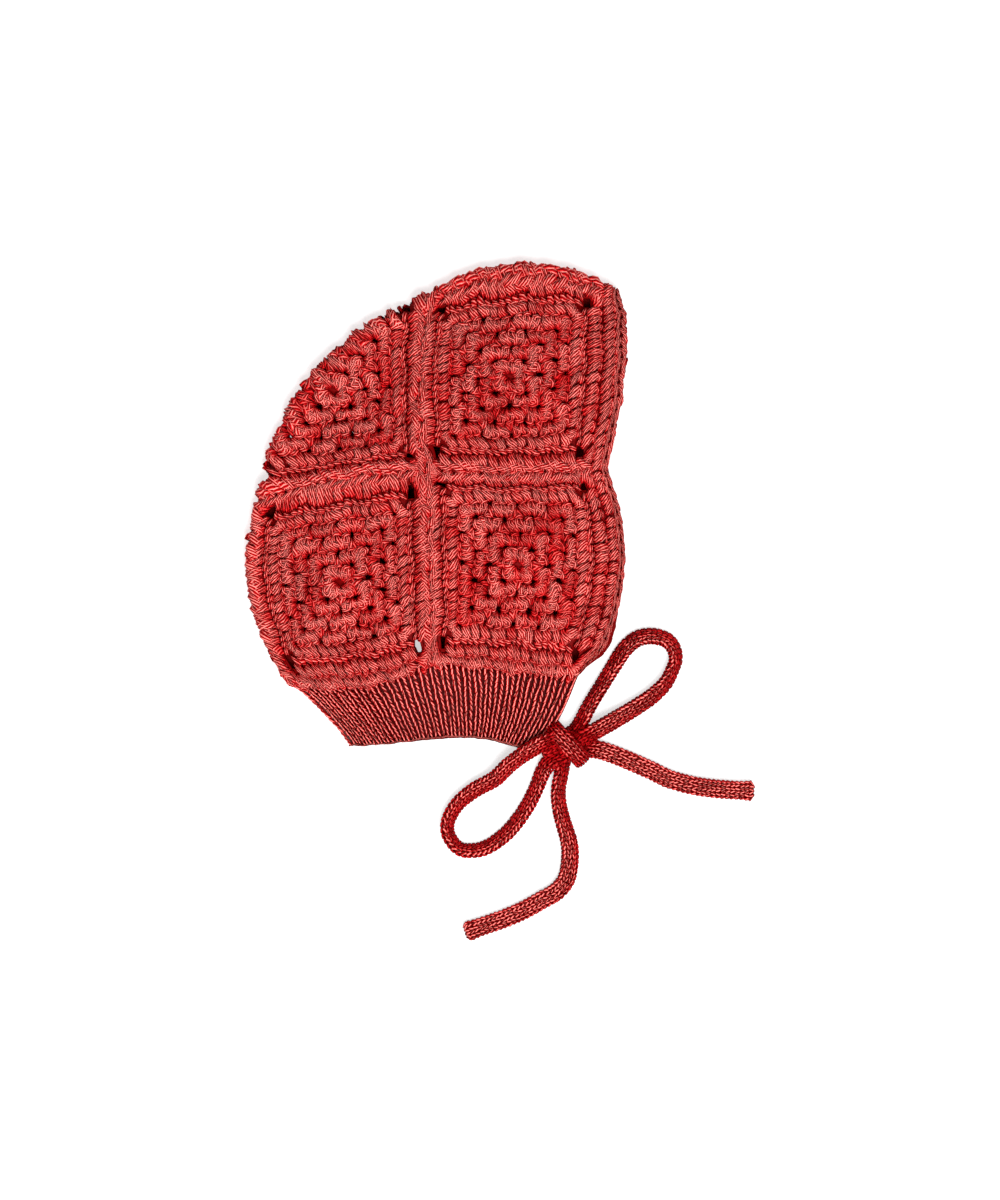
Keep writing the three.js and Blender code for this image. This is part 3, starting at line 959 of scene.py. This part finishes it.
def short_round(pattern, angle):
    """One side and corner of the short round."""
    corner = ROUNDS * RING
    for x in spread(SHORTS, SHORT_SPREAD):
        turn = pattern.random.uniform(-0.12, 0.12)
        size = (1, 1, pattern.random.uniform(0.85, 1.15))
        pattern.add_turned(angle, "short", x, corner + 0.4 * MM, turn, size)
    for swing in (-0.35, 0.35):
        x, y = corner + (0.4 + swing) * MM, corner + (0.4 - swing) * MM
        pattern.add_turned(angle, "short", x, y, -math.pi / 4 - swing, (0.9, 0.75, 1))


def eyelet_corner(pattern, angle):
    """The tall stitches that spread out past the eyelet in a corner."""
    away = EYELET + 1.2 * MM
    for swing in (-1.0, -0.5, 0.0, 0.5, 1.0):
        x, y = away + swing * 0.9 * MM, away - swing * 0.9 * MM
        pattern.add_turned(angle, "tall", x, y, -math.pi / 4 - swing * 0.62, (0.95, 0.95, 0.9))


def tall_round(pattern, angle, two_rows):
    """One side of the last round: a tall row, or two low ones."""
    random = pattern.random
    for x in spread(TALLS, TALL_SPREAD):
        if two_rows:
            for row in (0, 1):
                across = x + (row - 0.5) * 1.3 * MM
                up = RIDGE_AT + (1.1 + 2.6 * row) * MM
                pattern.add_turned(angle, "tall", across, up, random.uniform(-0.15, 0.15), (1.02, 0.58, 1.0))
        else:
            turn = random.uniform(-0.1, 0.1)
            size = (1.02, 0.98, random.uniform(0.85, 1.1))
            pattern.add_turned(angle, "tall", x, RIDGE_AT + 1.1 * MM, turn, size)


def square_pattern(seed, two_rows=()):
    """One granny square laid flat round its middle: rounds of clusters, a short round, a ridge and a tall round.

    two_rows numbers the sides, from the upper one, whose tall round is two low rows.
    """
    pattern = Pattern(seed)
    for quarter in range(4):
        angle = quarter * math.pi / 2
        cluster_rounds(pattern, angle)
        short_round(pattern, angle)
        for x in spread(LINKS, LINK_SPREAD):
            pattern.add_turned(angle, "ridge", x, RIDGE_AT)
        eyelet_corner(pattern, angle)
        tall_round(pattern, angle, quarter in two_rows)
    return pattern


def square_lines(low, high):
    """Grid lines of a square's backing, with a narrow cell at each hole."""
    lines = []
    for k in range(-ROUNDS, ROUNDS + 1):
        lines += [k * RING - HOLE, k * RING + HOLE]
    eyelet = [EYELET - EYELET_HALF, EYELET + EYELET_HALF]
    return [-low, -eyelet[1], -eyelet[0], *lines, *eyelet, high]


def square_open(lines_x, lines_y, near, through, shut):
    """Tells the cells that are holes: in the near half a chequer of small ones and an eyelet in each corner.

    A corner is two truths, right of the middle and above it. The one named by through is open in the far
    half too, so light shows through both, and the one named by shut is closed.
    """

    def place(lines, i):
        middle = (lines[i] + lines[i + 1]) / 2
        if abs(abs(middle) - EYELET) < SAME_PLACE:
            return "eyelet"
        ring = round(middle / RING)
        near_ring = abs(middle - ring * RING) < SAME_PLACE and abs(ring) <= ROUNDS
        return ring if near_ring else None

    def is_open(i, j):
        a, b = place(lines_x, i), place(lines_y, j)
        if a is None or b is None:
            return False
        if "eyelet" in (a, b):
            here = (lines_x[i] > 0, lines_y[j] > 0)
            return a == b and (near and here != shut or here == through)
        return near and (a + b) % 2 == 0 and (a, b) != (0, 0)

    return is_open


# How far each square's ridge lies from its middle, as shares of the way to the left, right, lower and
# upper join
RIDGE_SHARES = {
    "front_top": (0.82, 0.81, 0.76, 0.7),
    "front_side": (0.82, 0.82, 0.76, 0.82),
    "back": (0.8, 0.8, 0.72, 0.74),
    "crown": (0.8, 0.8, 0.8, 0.8),
}


def stretched(t, low, high):
    """Carries a flat distance from the middle to a share of half a square, by its ridge's place."""
    share = np.where(t < 0, low, high)
    size = np.abs(t)
    outer = PITCH / 2 - SLIT
    inner_part = size / RIDGE_AT * share
    outer_part = share + (size - RIDGE_AT) / (outer - RIDGE_AT) * (1 - share)
    return np.sign(t) * np.where(size < RIDGE_AT, inner_part, outer_part) / 2


def square_locate(column, row, kind):
    """Carries a square's flat places to the bonnet's columns and rows."""
    left, right, lower, upper = RIDGE_SHARES[kind]

    def locate(x, y):
        return column + 0.5 + stretched(x, left, right), row + 0.5 + stretched(y, lower, upper)

    return locate


CROWN_SHIFT = 0.147


def crown_locate(x, y):
    """The crown square, with its middle a little before the fold."""
    left, right, lower, upper = RIDGE_SHARES["crown"]
    a = 0.5 + stretched(x, left, right)
    b = 0.5 + stretched(y, lower, upper)
    bump = 16 * np.clip(a, 0, 1) * np.clip(b, 0, 1) * np.clip(1 - a, 0, 1) * np.clip(1 - b, 0, 1)
    return a + CROWN_SHIFT / 2 * bump, 1 + b - CROWN_SHIFT / 2 * bump


def crocheted_square(
    node, locate, near, seed, joined=(True, True, True, True), two_rows=(), through=None, shut=None
):
    """A square's backing and stitches, folded into place.

    joined tells the sides, left, right, lower and upper, where the backing goes on under a join.
    """
    beside = (PITCH - JOIN_WIDTH) / 2 - SLIT
    past = PITCH / 2 - SLIT
    left, right, lower, upper = [beside + UNDER_JOIN if meets else past for meets in joined]
    xs, ys = square_lines(left, right), square_lines(lower, upper)
    is_open = square_open(xs, ys, near, through, shut)
    wall = sheet_mesh(node + "_backing", xs, ys, -WALL / 2, 0.1 * MM, backing(), is_open)
    stitches = square_pattern(seed, two_rows).bake(node, cotton())
    laid_cloth(node, "crochet", stitches, wall, locate, near)


# Joins, edging and band

JOIN_PITCH = 4.3 * MM
JOIN_STITCH = (0.8, 1.08, 1)
UPRIGHT_PITCH = 4.6 * MM
UPRIGHT_STITCH = (1.05, 0.85, 1)
JOIN_OVERLAP = 0.9 * MM
# How strongly the joins' raised legs are painted lit
JOIN_PAINTED_LIGHT = 0.86
TOP_JOIN_SHIFT = 2.6 * MM


def braid_pattern(length, seed, pitch, size, turn):
    """Two rows of slanted legs that meet in the middle, along x."""
    pattern = Pattern(seed)
    count = max(2, round(length / pitch))
    for k in range(count):
        x = (k + 0.5) * length / count
        pattern.add("leg", x, 0.0, turn, size)
        pattern.add("other_leg", x, 0.0, turn, size)
    return pattern


def braided_join(node, length, locate, near, seed, pitch=JOIN_PITCH, size=JOIN_STITCH, turn=0.0):
    """A raised join: a narrow backing under a braid of slanted legs."""
    steps = max(6, round(length / (3 * MM)))
    xs = list(np.linspace(-JOIN_OVERLAP, length + JOIN_OVERLAP, steps))
    ys = [share * JOIN_WIDTH for share in (-0.5, -0.25, 0, 0.25, 0.5)]
    wall = sheet_mesh(node + "_backing", xs, ys, -WALL / 2, 0.3 * MM, backing())
    stitches = braid_pattern(length, seed, pitch, size, turn).bake(node, cotton(), 0.05)
    parts = [folded_object(node, mesh, locate, near, JOIN_PAINTED_LIGHT) for mesh in (stitches, wall)]
    finish_piece(join(node + "_braid", parts), [node])


def upright_join(x, y):
    """Carries the join between the front and the rear squares up from the band."""
    return 1 - y / PITCH, (x + SLIT) / PITCH


def rear_join(x, y):
    """Carries the join under the crown square forward from the back fold."""
    return x / PITCH, 1 + y / PITCH


def front_join(x, y):
    """Carries the join between the two front squares on to the face edging."""
    return 1 + HALF_JOIN + (x + SLIT) / PITCH, 1 + y / PITCH


def top_join(x, y):
    """Carries the join on the top fold, a little onto the near half."""
    return 1 + HALF_JOIN + (x + SLIT) / PITCH, 2 + (y - TOP_JOIN_SHIFT) / PITCH


def back_join(x, y):
    """Carries the join on the back fold up from the band."""
    return -y / PITCH, (x + SLIT) / PITCH


EDGE_LENGTH = 4 * PITCH
EDGING_TALLS = 73
EDGING_LINKS = 60
EDGING_CORNER = 11 * MM
EDGING_CORNER_SHARE = 0.12


def face_edging():
    """A tall row and a chain along the face opening, over the top fold from half to half."""
    pattern = Pattern(400)
    for k in range(EDGING_TALLS):
        x = (k + 0.5) / EDGING_TALLS * (EDGE_LENGTH - 2 * SLIT) + SLIT
        turn = math.pi + pattern.random.uniform(-0.12, 0.12)
        pattern.add("tall", x, -SLIT - 0.3 * MM, turn, (1.03, 1.1, 1.0))
    for k in range(EDGING_LINKS):
        x = (k + 0.5) / EDGING_LINKS * (EDGE_LENGTH - 5 * MM) + 2.5 * MM
        for kind in ("leg", "other_leg"):
            pattern.add(kind, x, -EDGING_WIDTH + 2.3 * MM, 0.0, (0.9, 0.6, 0.95))

    def locate(x, y):
        to_corner = np.minimum(x, EDGE_LENGTH - x) / EDGING_CORNER
        narrowed = EDGING_CORNER_SHARE + (1 - EDGING_CORNER_SHARE) * smooth(to_corner)
        return 2 - y * narrowed / PITCH, x / PITCH

    xs = list(np.linspace(SLIT, EDGE_LENGTH - SLIT, 88))
    ys = [-EDGING_WIDTH + 0.5 * MM, *[-EDGING_WIDTH * share for share in (0.75, 0.5, 0.25)], 0.6 * MM]
    wall = sheet_mesh("face_edging_backing", xs, ys, -WALL / 2, 0.2 * MM, backing())
    stitches = pattern.bake("face_edging", cotton())
    laid_cloth("face_edging", "crochet", stitches, wall, locate, True, uneven=0.7)


RIBS_PER_SIDE = 26
RIB_ROWS = 14


def neck_band():
    """Knitted columns with deep gaps between them, from one front corner round the back to the other."""
    pattern = Pattern(500)
    pitch = 2 * PITCH / RIBS_PER_SIDE
    for k in range(2 * RIBS_PER_SIDE):
        x = (k + 0.5) * pitch - 2 * PITCH
        shift = pattern.random.uniform(-0.3, 0.3)
        for row in range(RIB_ROWS):
            y = -SLIT - (row + 0.5 + shift) / RIB_ROWS * (BAND_HEIGHT - SLIT - 1.2 * MM)
            turn = pattern.random.uniform(-0.1, 0.1)
            pattern.add("rib", x, y, turn, (1, 1, pattern.random.uniform(0.85, 1.15)), 0.35 * MM)
    for k in range(6 * RIBS_PER_SIDE):
        x = (k + 0.5) * pitch / 3 - 2 * PITCH
        pattern.add("ridge", x, -BAND_HEIGHT + 0.9 * MM, 0.0, (1.1, 0.3, 0.8))
        pattern.add("ridge", x, 0.3 * MM, 0.9 if k % 2 else -0.9, (0.75, 1.1, 0.8), 0.25 * MM)

    def locate(x, y):
        return x / PITCH, y / PITCH

    xs = list(np.linspace(-2 * PITCH, 2 * PITCH, 4 * RIBS_PER_SIDE + 1))
    ys = list(np.linspace(-BAND_HEIGHT + 0.2 * MM, 0.6 * MM, 8))
    # The backing in the gaps between the ribs is painted in a darker share of the shade
    wall = sheet_mesh("neck_band_backing", xs, ys, -WALL / 2, -0.4 * MM, backing("Rib backing in painted shade", 0.35))
    stitches = pattern.bake("neck_band", cotton(), 0.04)
    # The ribs are painted lit more strongly, so their tops reach the painted highlight
    laid_cloth("neck_band", "ribbing", stitches, wall, locate, True, painted_light_scale=2.2, uneven=0.45)


# Ties: a flattened knitted cord laid along a route in millimetres, with how far it is turned on edge

TIE_WIDTH = 7.5 * MM
TIE_THICKNESS = 3.8 * MM
NEAR_ROUTE = [
    (37.5, -85.6, 6.1, 0), (40.5, -85.2, 6.1, 0), (44.5, -83.4, 5.9, 20), (48.4, -80.4, 5.2, 40), (51, -77.6, 5.2, 45),
    (54.6, -70.6, 5, 50), (59.4, -62.8, 3.9, 50), (63.6, -56, 3.2, 45), (67.4, -50.2, 3, 40), (72, -46.4, 3, 40),
    (77.2, -45.5, 3, 40), (82.3, -46.8, 3, 45), (85, -49.8, 3.1, 50), (85.8, -53.6, 3.2, 55), (84.8, -57, 3.2, 55),
    (82.2, -62.2, 3.1, 50), (77.6, -66.8, 3, 40), (71.2, -71.2, 3.2, 35), (64.8, -75, 4.4, 30), (59.2, -78.2, 6, 30),
    (53, -81.6, 7, 30), (49, -84.4, 6.6, 30), (46.6, -87.4, 4.8, 35), (45.2, -91.1, 3.1, 45), (44.6, -95, 3, 50),
    (43.6, -100.8, 3, 50), (43.9, -106.4, 3, 48), (45.4, -112.6, 2.9, 42), (47.2, -118.6, 2.8, 35),
    (47.8, -123.4, 2.7, 30), (47.4, -129, 2.6, 25), (46.2, -133.4, 2.5, 20), (42.8, -137.4, 2.4, 15),
    (38, -140.2, 2.2, 10), (31.6, -143.8, 2, 5), (24.4, -147, 2, 0), (16.4, -149.8, 2, 0), (10.1, -152, 2, 0),
]
FAR_ROUTE = [
    (38.1, -86, 2, 0), (41.5, -86.6, 2.2, 0), (45.6, -87.6, 2.8, 0), (49.6, -87, 4.6, 0), (50.8, -84.4, 6.4, 0),
    (47.8, -82.6, 7.6, 0), (43.8, -82.2, 9, 10), (40.3, -83, 10.2, 25), (36.4, -84.6, 9.8, 35), (31.4, -87.6, 8.8, 40),
    (26, -91.6, 6.8, 40), (20.6, -96.8, 4.6, 40), (13.4, -100.8, 3.1, 42), (7.4, -105.8, 3.1, 50), (3.9, -112, 3.2, 55),
    (4.1, -117, 3.2, 58), (7.2, -121.4, 3.2, 58), (11.2, -122.6, 3.2, 55), (17.4, -121.6, 3.1, 52),
    (24, -117.2, 3.1, 50), (28.4, -112.4, 3.1, 50), (32.4, -106.6, 3.1, 50), (35.6, -100.2, 3.2, 50),
    (38, -94.2, 3.8, 45), (40.8, -90.2, 5.5, 30), (45, -87.8, 5.6, 10), (50, -86.2, 3.8, 0), (54.5, -86, 2.1, 0),
    (58.2, -86.4, 2, 0), (63, -87.9, 2, 0), (70.2, -90.8, 2, 0), (77.4, -94, 2, 0), (83.2, -96.8, 2, 0),
    (91, -99, 2, 0), (98.2, -100.2, 2, 0), (105.4, -100.8, 2, 0), (113.9, -101.2, 2, 0),
]
KNOT_MIDDLE = (46.8, -84.2, 6.6)
KNOT_RADII = (7.9, 4.7)
KNOT_TURN = math.radians(-47)


def smooth_route(route, step=1.0):
    """Even stations, in metres, on a smooth curve through the route's points."""
    points = np.array(route, float)
    ends = with_ends(points)
    curve = []
    for i in range(1, len(ends) - 2):
        for t in np.linspace(0, 1, 24, endpoint=False):
            curve.append(spline_point(*ends[i - 1 : i + 3], t))
    curve.append(points[-1])
    curve = np.array(curve)
    lengths = np.concatenate([[0], np.cumsum(np.linalg.norm(np.diff(curve[:, :3], axis=0), axis=1))])
    even = np.linspace(0, lengths[-1], round(lengths[-1] / step) + 1)
    stations = np.stack([np.interp(even, lengths, curve[:, k]) for k in range(curve.shape[1])], -1)
    stations[:, :3] *= MM
    return stations, even * MM


class TieSurface:
    """A flattened tube along a route, that flat patterns are wrapped round."""

    def __init__(self, stations, lengths, width, thickness, flat_out=None):
        self.middle = stations[:, :3]
        self.turn = np.radians(stations[:, 3])
        self.lengths = lengths
        self.half = (width / 2, thickness / 2)
        tangents = np.gradient(self.middle, axis=0)
        self.tangents = tangents / np.linalg.norm(tangents, axis=1, keepdims=True)
        if flat_out is None:
            across = np.cross(self.tangents, [0.0, 0.0, 1.0])
            across /= np.linalg.norm(across, axis=1, keepdims=True)
        else:
            across = np.tile(np.array(flat_out, float), (len(stations), 1))
        self.across = across
        self.rise = np.cross(self.across, self.tangents)
        angles = np.linspace(0, 2 * math.pi, 181)
        ring = np.stack([np.cos(angles) * self.half[0], np.sin(angles) * self.half[1]], -1)
        self.ring_lengths = np.concatenate([[0], np.cumsum(np.linalg.norm(np.diff(ring, axis=0), axis=1))])
        self.angles = angles
        self.closing = np.ones(len(lengths))
        if flat_out is None:
            ends = np.minimum(lengths, lengths[-1] - lengths)
            rounded = np.sqrt(1 - (1 - np.clip(ends / (0.9 * MM), 0, 1)) ** 2)
            self.closing = 0.6 + 0.4 * rounded + 0.2 * np.exp(-((ends / (2.5 * MM)) ** 2)) * rounded
        self.girth = self.ring_lengths[-1]

    def at(self, values, x):
        return np.stack([np.interp(x, self.lengths, values[:, k]) for k in range(values.shape[1])], -1)

    def wrap(self, flat):
        x = np.clip(flat[:, 0], 0, self.lengths[-1])
        beyond = flat[:, 0] - x
        around = np.interp(np.mod(flat[:, 1], self.girth), self.ring_lengths, self.angles)
        turn = np.interp(x, self.lengths, self.turn)
        across, rise = self.at(self.across, x), self.at(self.rise, x)
        wide = across * np.cos(turn)[:, None] + rise * np.sin(turn)[:, None]
        thin = rise * np.cos(turn)[:, None] - across * np.sin(turn)[:, None]
        size = np.interp(x, self.lengths, self.closing)
        c, s = np.cos(around), np.sin(around)
        a, b = self.half
        normal = wide * (c / a)[:, None] + thin * (s / b)[:, None]
        c, s = c * size, s * size
        normal /= np.linalg.norm(normal, axis=1, keepdims=True)
        point = self.at(self.middle, x) + wide * (c * a)[:, None] + thin * (s * b)[:, None]
        point += self.at(self.tangents, x) * beyond[:, None] + normal * flat[:, 2][:, None]
        point[:, 2] = np.maximum(point[:, 2], 0.02 * MM)
        return point


def knitted_tube(name, tube, seed, closed, forward):
    """A core tube and knitted stitches all over it, their V's pointing forward or back along it."""
    total = tube.lengths[-1]
    pattern = Pattern(seed)
    wales = 6
    rows = round(total / (1.7 * MM))
    for row in range(rows):
        for wale in range(wales):
            x = (row + 0.5 + pattern.random.uniform(-0.06, 0.06)) * total / rows
            pattern.add("tie", x, (wale + 0.5) * tube.girth / wales, math.pi / 2 * forward)
    stitches = pattern.bake(name, tie_cotton(), 0.05)
    flat = places_of(stitches)
    wrapped = tube.wrap(flat)
    outward = tube.wrap(flat + np.array([0, 0, MM])) - wrapped
    # Painted light and shade: stitches facing up are painted lit and those on the cord's sides in shade, and the knot's
    # wrap is a little darker all over
    facing = np.clip(outward[:, 2] / MM, 0, 1)
    painted_top_light = 0.1 + 0.9 * facing**1.5
    if closed:
        painted_top_light *= 0.85
    else:
        # Painted shadow round the knot, where the loops run under its wrap
        to_knot = np.linalg.norm(wrapped - np.array(KNOT_MIDDLE) * MM, axis=1)
        painted_top_light *= 0.45 + 0.55 * smooth((to_knot - 6 * MM) / (8 * MM))
    set_lift(stitches, (flat[:, 2] * 2.8 + 0.25 * MM) * painted_top_light)
    stitches.vertices.foreach_set("co", wrapped.astype(np.float32).ravel())
    stitches.update()
    sides = 12
    xs = np.linspace(0, total, max(8, len(tube.lengths)))
    verts, faces = [], []
    for x in xs:
        for k in range(sides):
            verts.append((x, k * tube.girth / sides, -0.25 * MM))
    for i in range(len(xs) - 1):
        for k in range(sides):
            m = (k + 1) % sides
            faces.append([i * sides + k, (i + 1) * sides + k, (i + 1) * sides + m, i * sides + m])
    if not closed:
        faces.append([*range(sides)])
        faces.append([(len(xs) - 1) * sides + k for k in range(sides)][::-1])
    core = mesh_object(name + "_core", tube.wrap(np.array(verts)), faces)
    core.data.uv_layers.new(name="strand")
    # The tie's core is coloured in the painted shade
    core.data.materials.append(backing())
    obj = bpy.data.objects.new(name, stitches)
    bpy.context.scene.collection.objects.link(obj)
    return join(name, [obj, core])


def tie(name, route, nodes, seed, forward):
    stations, lengths = smooth_route(route)
    tube = TieSurface(stations, lengths, TIE_WIDTH - 1.8 * MM, TIE_THICKNESS - 1.9 * MM)
    piece = knitted_tube(name, tube, seed, False, forward)
    finish_piece(piece, nodes)


def bow_knot():
    """The turn of tie that wraps the middle of the bow."""
    angles = np.linspace(0, 2 * math.pi, 49)
    direction = np.array([math.cos(KNOT_TURN), math.sin(KNOT_TURN), 0.0])
    upward = np.array([0, 0, 1.0])
    wide, high = KNOT_RADII
    ring = [
        np.array(KNOT_MIDDLE) + direction * wide * math.cos(a) + upward * high * math.sin(a)
        for a in angles
    ]
    stations = np.array([[*point * MM, 0.0] for point in ring])
    lengths = np.concatenate([[0], np.cumsum(np.linalg.norm(np.diff(stations[:, :3], axis=0), axis=1))])
    aside = (-math.sin(KNOT_TURN), math.cos(KNOT_TURN), 0.0)
    tube = TieSurface(stations, lengths, TIE_WIDTH - 1.9 * MM, TIE_THICKNESS - 1.9 * MM, aside)
    piece = knitted_tube("bow_knot_wrap", tube, 600, True, 1)
    finish_piece(piece, ["bow_knot"])
    return piece


class BonnetColours(bpy.types.PropertyGroup):
    """Yarn colours: painted shade between the stitches, the yarn's own colour on them, and painted highlights on their
    crests.
    """

    # Painted shade: the colour that low points, ply grooves and the gaps between stitches are painted in
    painted_shade: FloatVectorProperty(
        name="Painted shade", description="Between the stitches", subtype="COLOR", default=(0.16, 0.0003, 0.0005)
    )
    body: FloatVectorProperty(
        name="Body", description="On the stitches", subtype="COLOR", default=(0.6, 0.0035, 0.0065)
    )
    # Painted highlight: the colour painted on the crests of raised plies, in place of real gloss
    light: FloatVectorProperty(
        name="Light", description="On the crest of each ply", subtype="COLOR", default=(1.0, 0.31, 0.265)
    )
    # Painted highlight on the ties' crests
    tie_painted_highlight: FloatVectorProperty(
        name="Tie painted highlight", description="On the ties' crests", subtype="COLOR", default=(1.0, 0.27, 0.23)
    )
    tie_shade: FloatProperty(name="Tie shade", description="Share of the colour that the ties keep", default=0.7)


class StageSettings(bpy.types.PropertyGroup):
    """The surface, the lights and the camera."""

    camera_height: FloatProperty(name="Camera height", description="Above the surface", unit="LENGTH", default=2.4)
    lens: FloatProperty(name="Lens", description="Focal length in millimetres", default=200.0)
    key_power: FloatProperty(name="Key light", description="Power of the large soft light, in watts", default=34.0)
    sky: FloatProperty(name="Sky", description="Strength of the light from all round", default=0.48)


class BONNET_OT_stage(bpy.types.Operator):
    """Make the pale surface, the soft lights and the camera"""

    bl_idname = "bonnet.stage"
    bl_label = "Stage"

    def execute(self, context):
        settings = context.scene.bonnet_stage
        middle = (
            (PHOTO_MIDDLE[0] - BONNET_MIDDLE[0]) * PIXEL,
            (BONNET_MIDDLE[1] - PHOTO_MIDDLE[1]) * PIXEL,
        )
        lens = bpy.data.cameras.new("camera")
        lens.lens = settings.lens
        lens.sensor_fit = "AUTO"
        lens.sensor_width = 36
        camera = bpy.data.objects.new("camera", lens)
        camera.location = (*middle, settings.camera_height)
        context.scene.collection.objects.link(camera)
        context.scene.camera = camera
        floor = mesh_object("floor", [(-3, -3, 0), (3, -3, 0), (3, 3, 0), (-3, 3, 0)], [[0, 1, 2, 3]])
        paper = bpy.data.materials.new("Pale paper")
        paper.use_nodes = True
        shader = paper.node_tree.nodes["Principled BSDF"]
        shader.inputs["Base Color"].default_value = (0.55, 0.55, 0.55, 1)
        shader.inputs["Roughness"].default_value = 0.95
        shader.inputs["Specular IOR Level"].default_value = 0.1
        shader.inputs["Emission Color"].default_value = (1, 1, 1, 1)
        shader.inputs["Emission Strength"].default_value = 0.6
        floor.data.materials.append(paper)
        key = bpy.data.lights.new("key", "AREA")
        key.energy = settings.key_power
        key.size = 0.8
        lamp = bpy.data.objects.new("key", key)
        lamp.location = (0.25, -0.6, 1.4)
        lamp.rotation_euler = (Vector((0, 0, 0)) - lamp.location).to_track_quat("-Z", "Y").to_euler()
        context.scene.collection.objects.link(lamp)
        world = bpy.data.worlds.new("studio")
        context.scene.world = world
        world.use_nodes = True
        world.node_tree.nodes["Background"].inputs["Color"].default_value = (1, 1, 1, 1)
        world.node_tree.nodes["Background"].inputs["Strength"].default_value = settings.sky
        context.scene.view_settings.view_transform = "Standard"
        return {"FINISHED"}


# Each half's squares: kind, column and row, which sides are joined, whose tall round is two rows, and the
# corner that light shows through
HALF_SQUARES = (
    ("front_top", 1, 1, (True, False, True, True), (0,), None),
    ("front_side", 1, 0, (True, False, False, True), (2,), None),
    ("back", 0, 0, (True, True, False, True), (2,), (True, False)),
)


class BONNET_OT_squares(bpy.types.Operator):
    """Crochet the seven granny squares"""

    bl_idname = "bonnet.squares"
    bl_label = "Squares"

    def execute(self, context):
        seed = 10
        crocheted_square("crown_square", crown_locate, True, seed, shut=(False, True))
        for near in (True, False):
            half = "near" if near else "far"
            seed += 10
            for number, (kind, column, row, joined, low_rows, through) in enumerate(HALF_SQUARES):
                locate = square_locate(column, row, kind)
                node = f"{kind}_square_{half}"
                crocheted_square(node, locate, near, seed + 1 + number, joined, low_rows, through)
        return {"FINISHED"}


class BONNET_OT_joins(bpy.types.Operator):
    """Braid the raised joins between the squares"""

    bl_idname = "bonnet.joins"
    bl_label = "Joins"

    def execute(self, context):
        seed = 200
        long = 2 * PITCH - 2 * SLIT
        side = PITCH - JOIN_WIDTH / 2 - SLIT
        for near in (True, False):
            half = "near" if near else "far"
            seed += 10
            braided_join(
                f"front_rear_join_{half}", long, upright_join, near, seed, UPRIGHT_PITCH, UPRIGHT_STITCH, math.pi
            )
            braided_join(f"crown_rear_join_{half}", side, rear_join, near, seed + 1)
            braided_join(f"front_join_{half}", side - SLIT, front_join, near, seed + 2)
        braided_join("top_join", side - SLIT, top_join, True, 301)
        braided_join("back_join", side - SLIT, back_join, True, 302)
        return {"FINISHED"}


class BONNET_OT_trims(bpy.types.Operator):
    """Crochet the face edging and knit the ribbed neck band"""

    bl_idname = "bonnet.trims"
    bl_label = "Edging and band"

    def execute(self, context):
        face_edging()
        neck_band()
        return {"FINISHED"}


class BONNET_OT_bow(bpy.types.Operator):
    """Knit the two ties and lay them in their bow"""

    bl_idname = "bonnet.bow"
    bl_label = "Bow"

    def execute(self, context):
        knot = bow_knot()
        tie("near_tie", NEAR_ROUTE, ["near_tie_root", "near_tie_loop", "near_tie_tail"], 610, -1)
        tie("far_tie", FAR_ROUTE, ["far_tie_root", "far_tie_loop", "far_tie_tail"], 620, 1)
        return {"FINISHED"}


class BONNET_PT_parts(bpy.types.Panel):
    """The bonnet's groups and their settings"""

    bl_idname = "BONNET_PT_parts"
    bl_label = "Bonnet"
    bl_space_type = "VIEW_3D"
    bl_region_type = "UI"
    bl_category = "Bonnet"

    def draw(self, context):
        layout = self.layout
        for operator in (BONNET_OT_stage, BONNET_OT_bow, BONNET_OT_squares, BONNET_OT_joins, BONNET_OT_trims):
            layout.operator(operator.bl_idname)
        for settings in (context.scene.bonnet_stage, context.scene.bonnet_colours):
            for name in settings.__annotations__:
                layout.prop(settings, name)


CLASSES = (
    BonnetColours,
    StageSettings,
    BONNET_OT_stage,
    BONNET_OT_bow,
    BONNET_OT_squares,
    BONNET_OT_joins,
    BONNET_OT_trims,
    BONNET_PT_parts,
)


def register():
    for cls in CLASSES:
        bpy.utils.register_class(cls)
    bpy.types.Scene.bonnet_colours = PointerProperty(type=BonnetColours)
    bpy.types.Scene.bonnet_stage = PointerProperty(type=StageSettings)


def unregister():
    del bpy.types.Scene.bonnet_stage
    del bpy.types.Scene.bonnet_colours
    for cls in reversed(CLASSES):
        bpy.utils.unregister_class(cls)


def main():
    register()
    bpy.ops.bonnet.stage()
    bpy.ops.bonnet.bow()
    bpy.ops.bonnet.squares()
    bpy.ops.bonnet.joins()
    bpy.ops.bonnet.trims()
    remove_stitches()


if __name__ == "__main__":
    main()
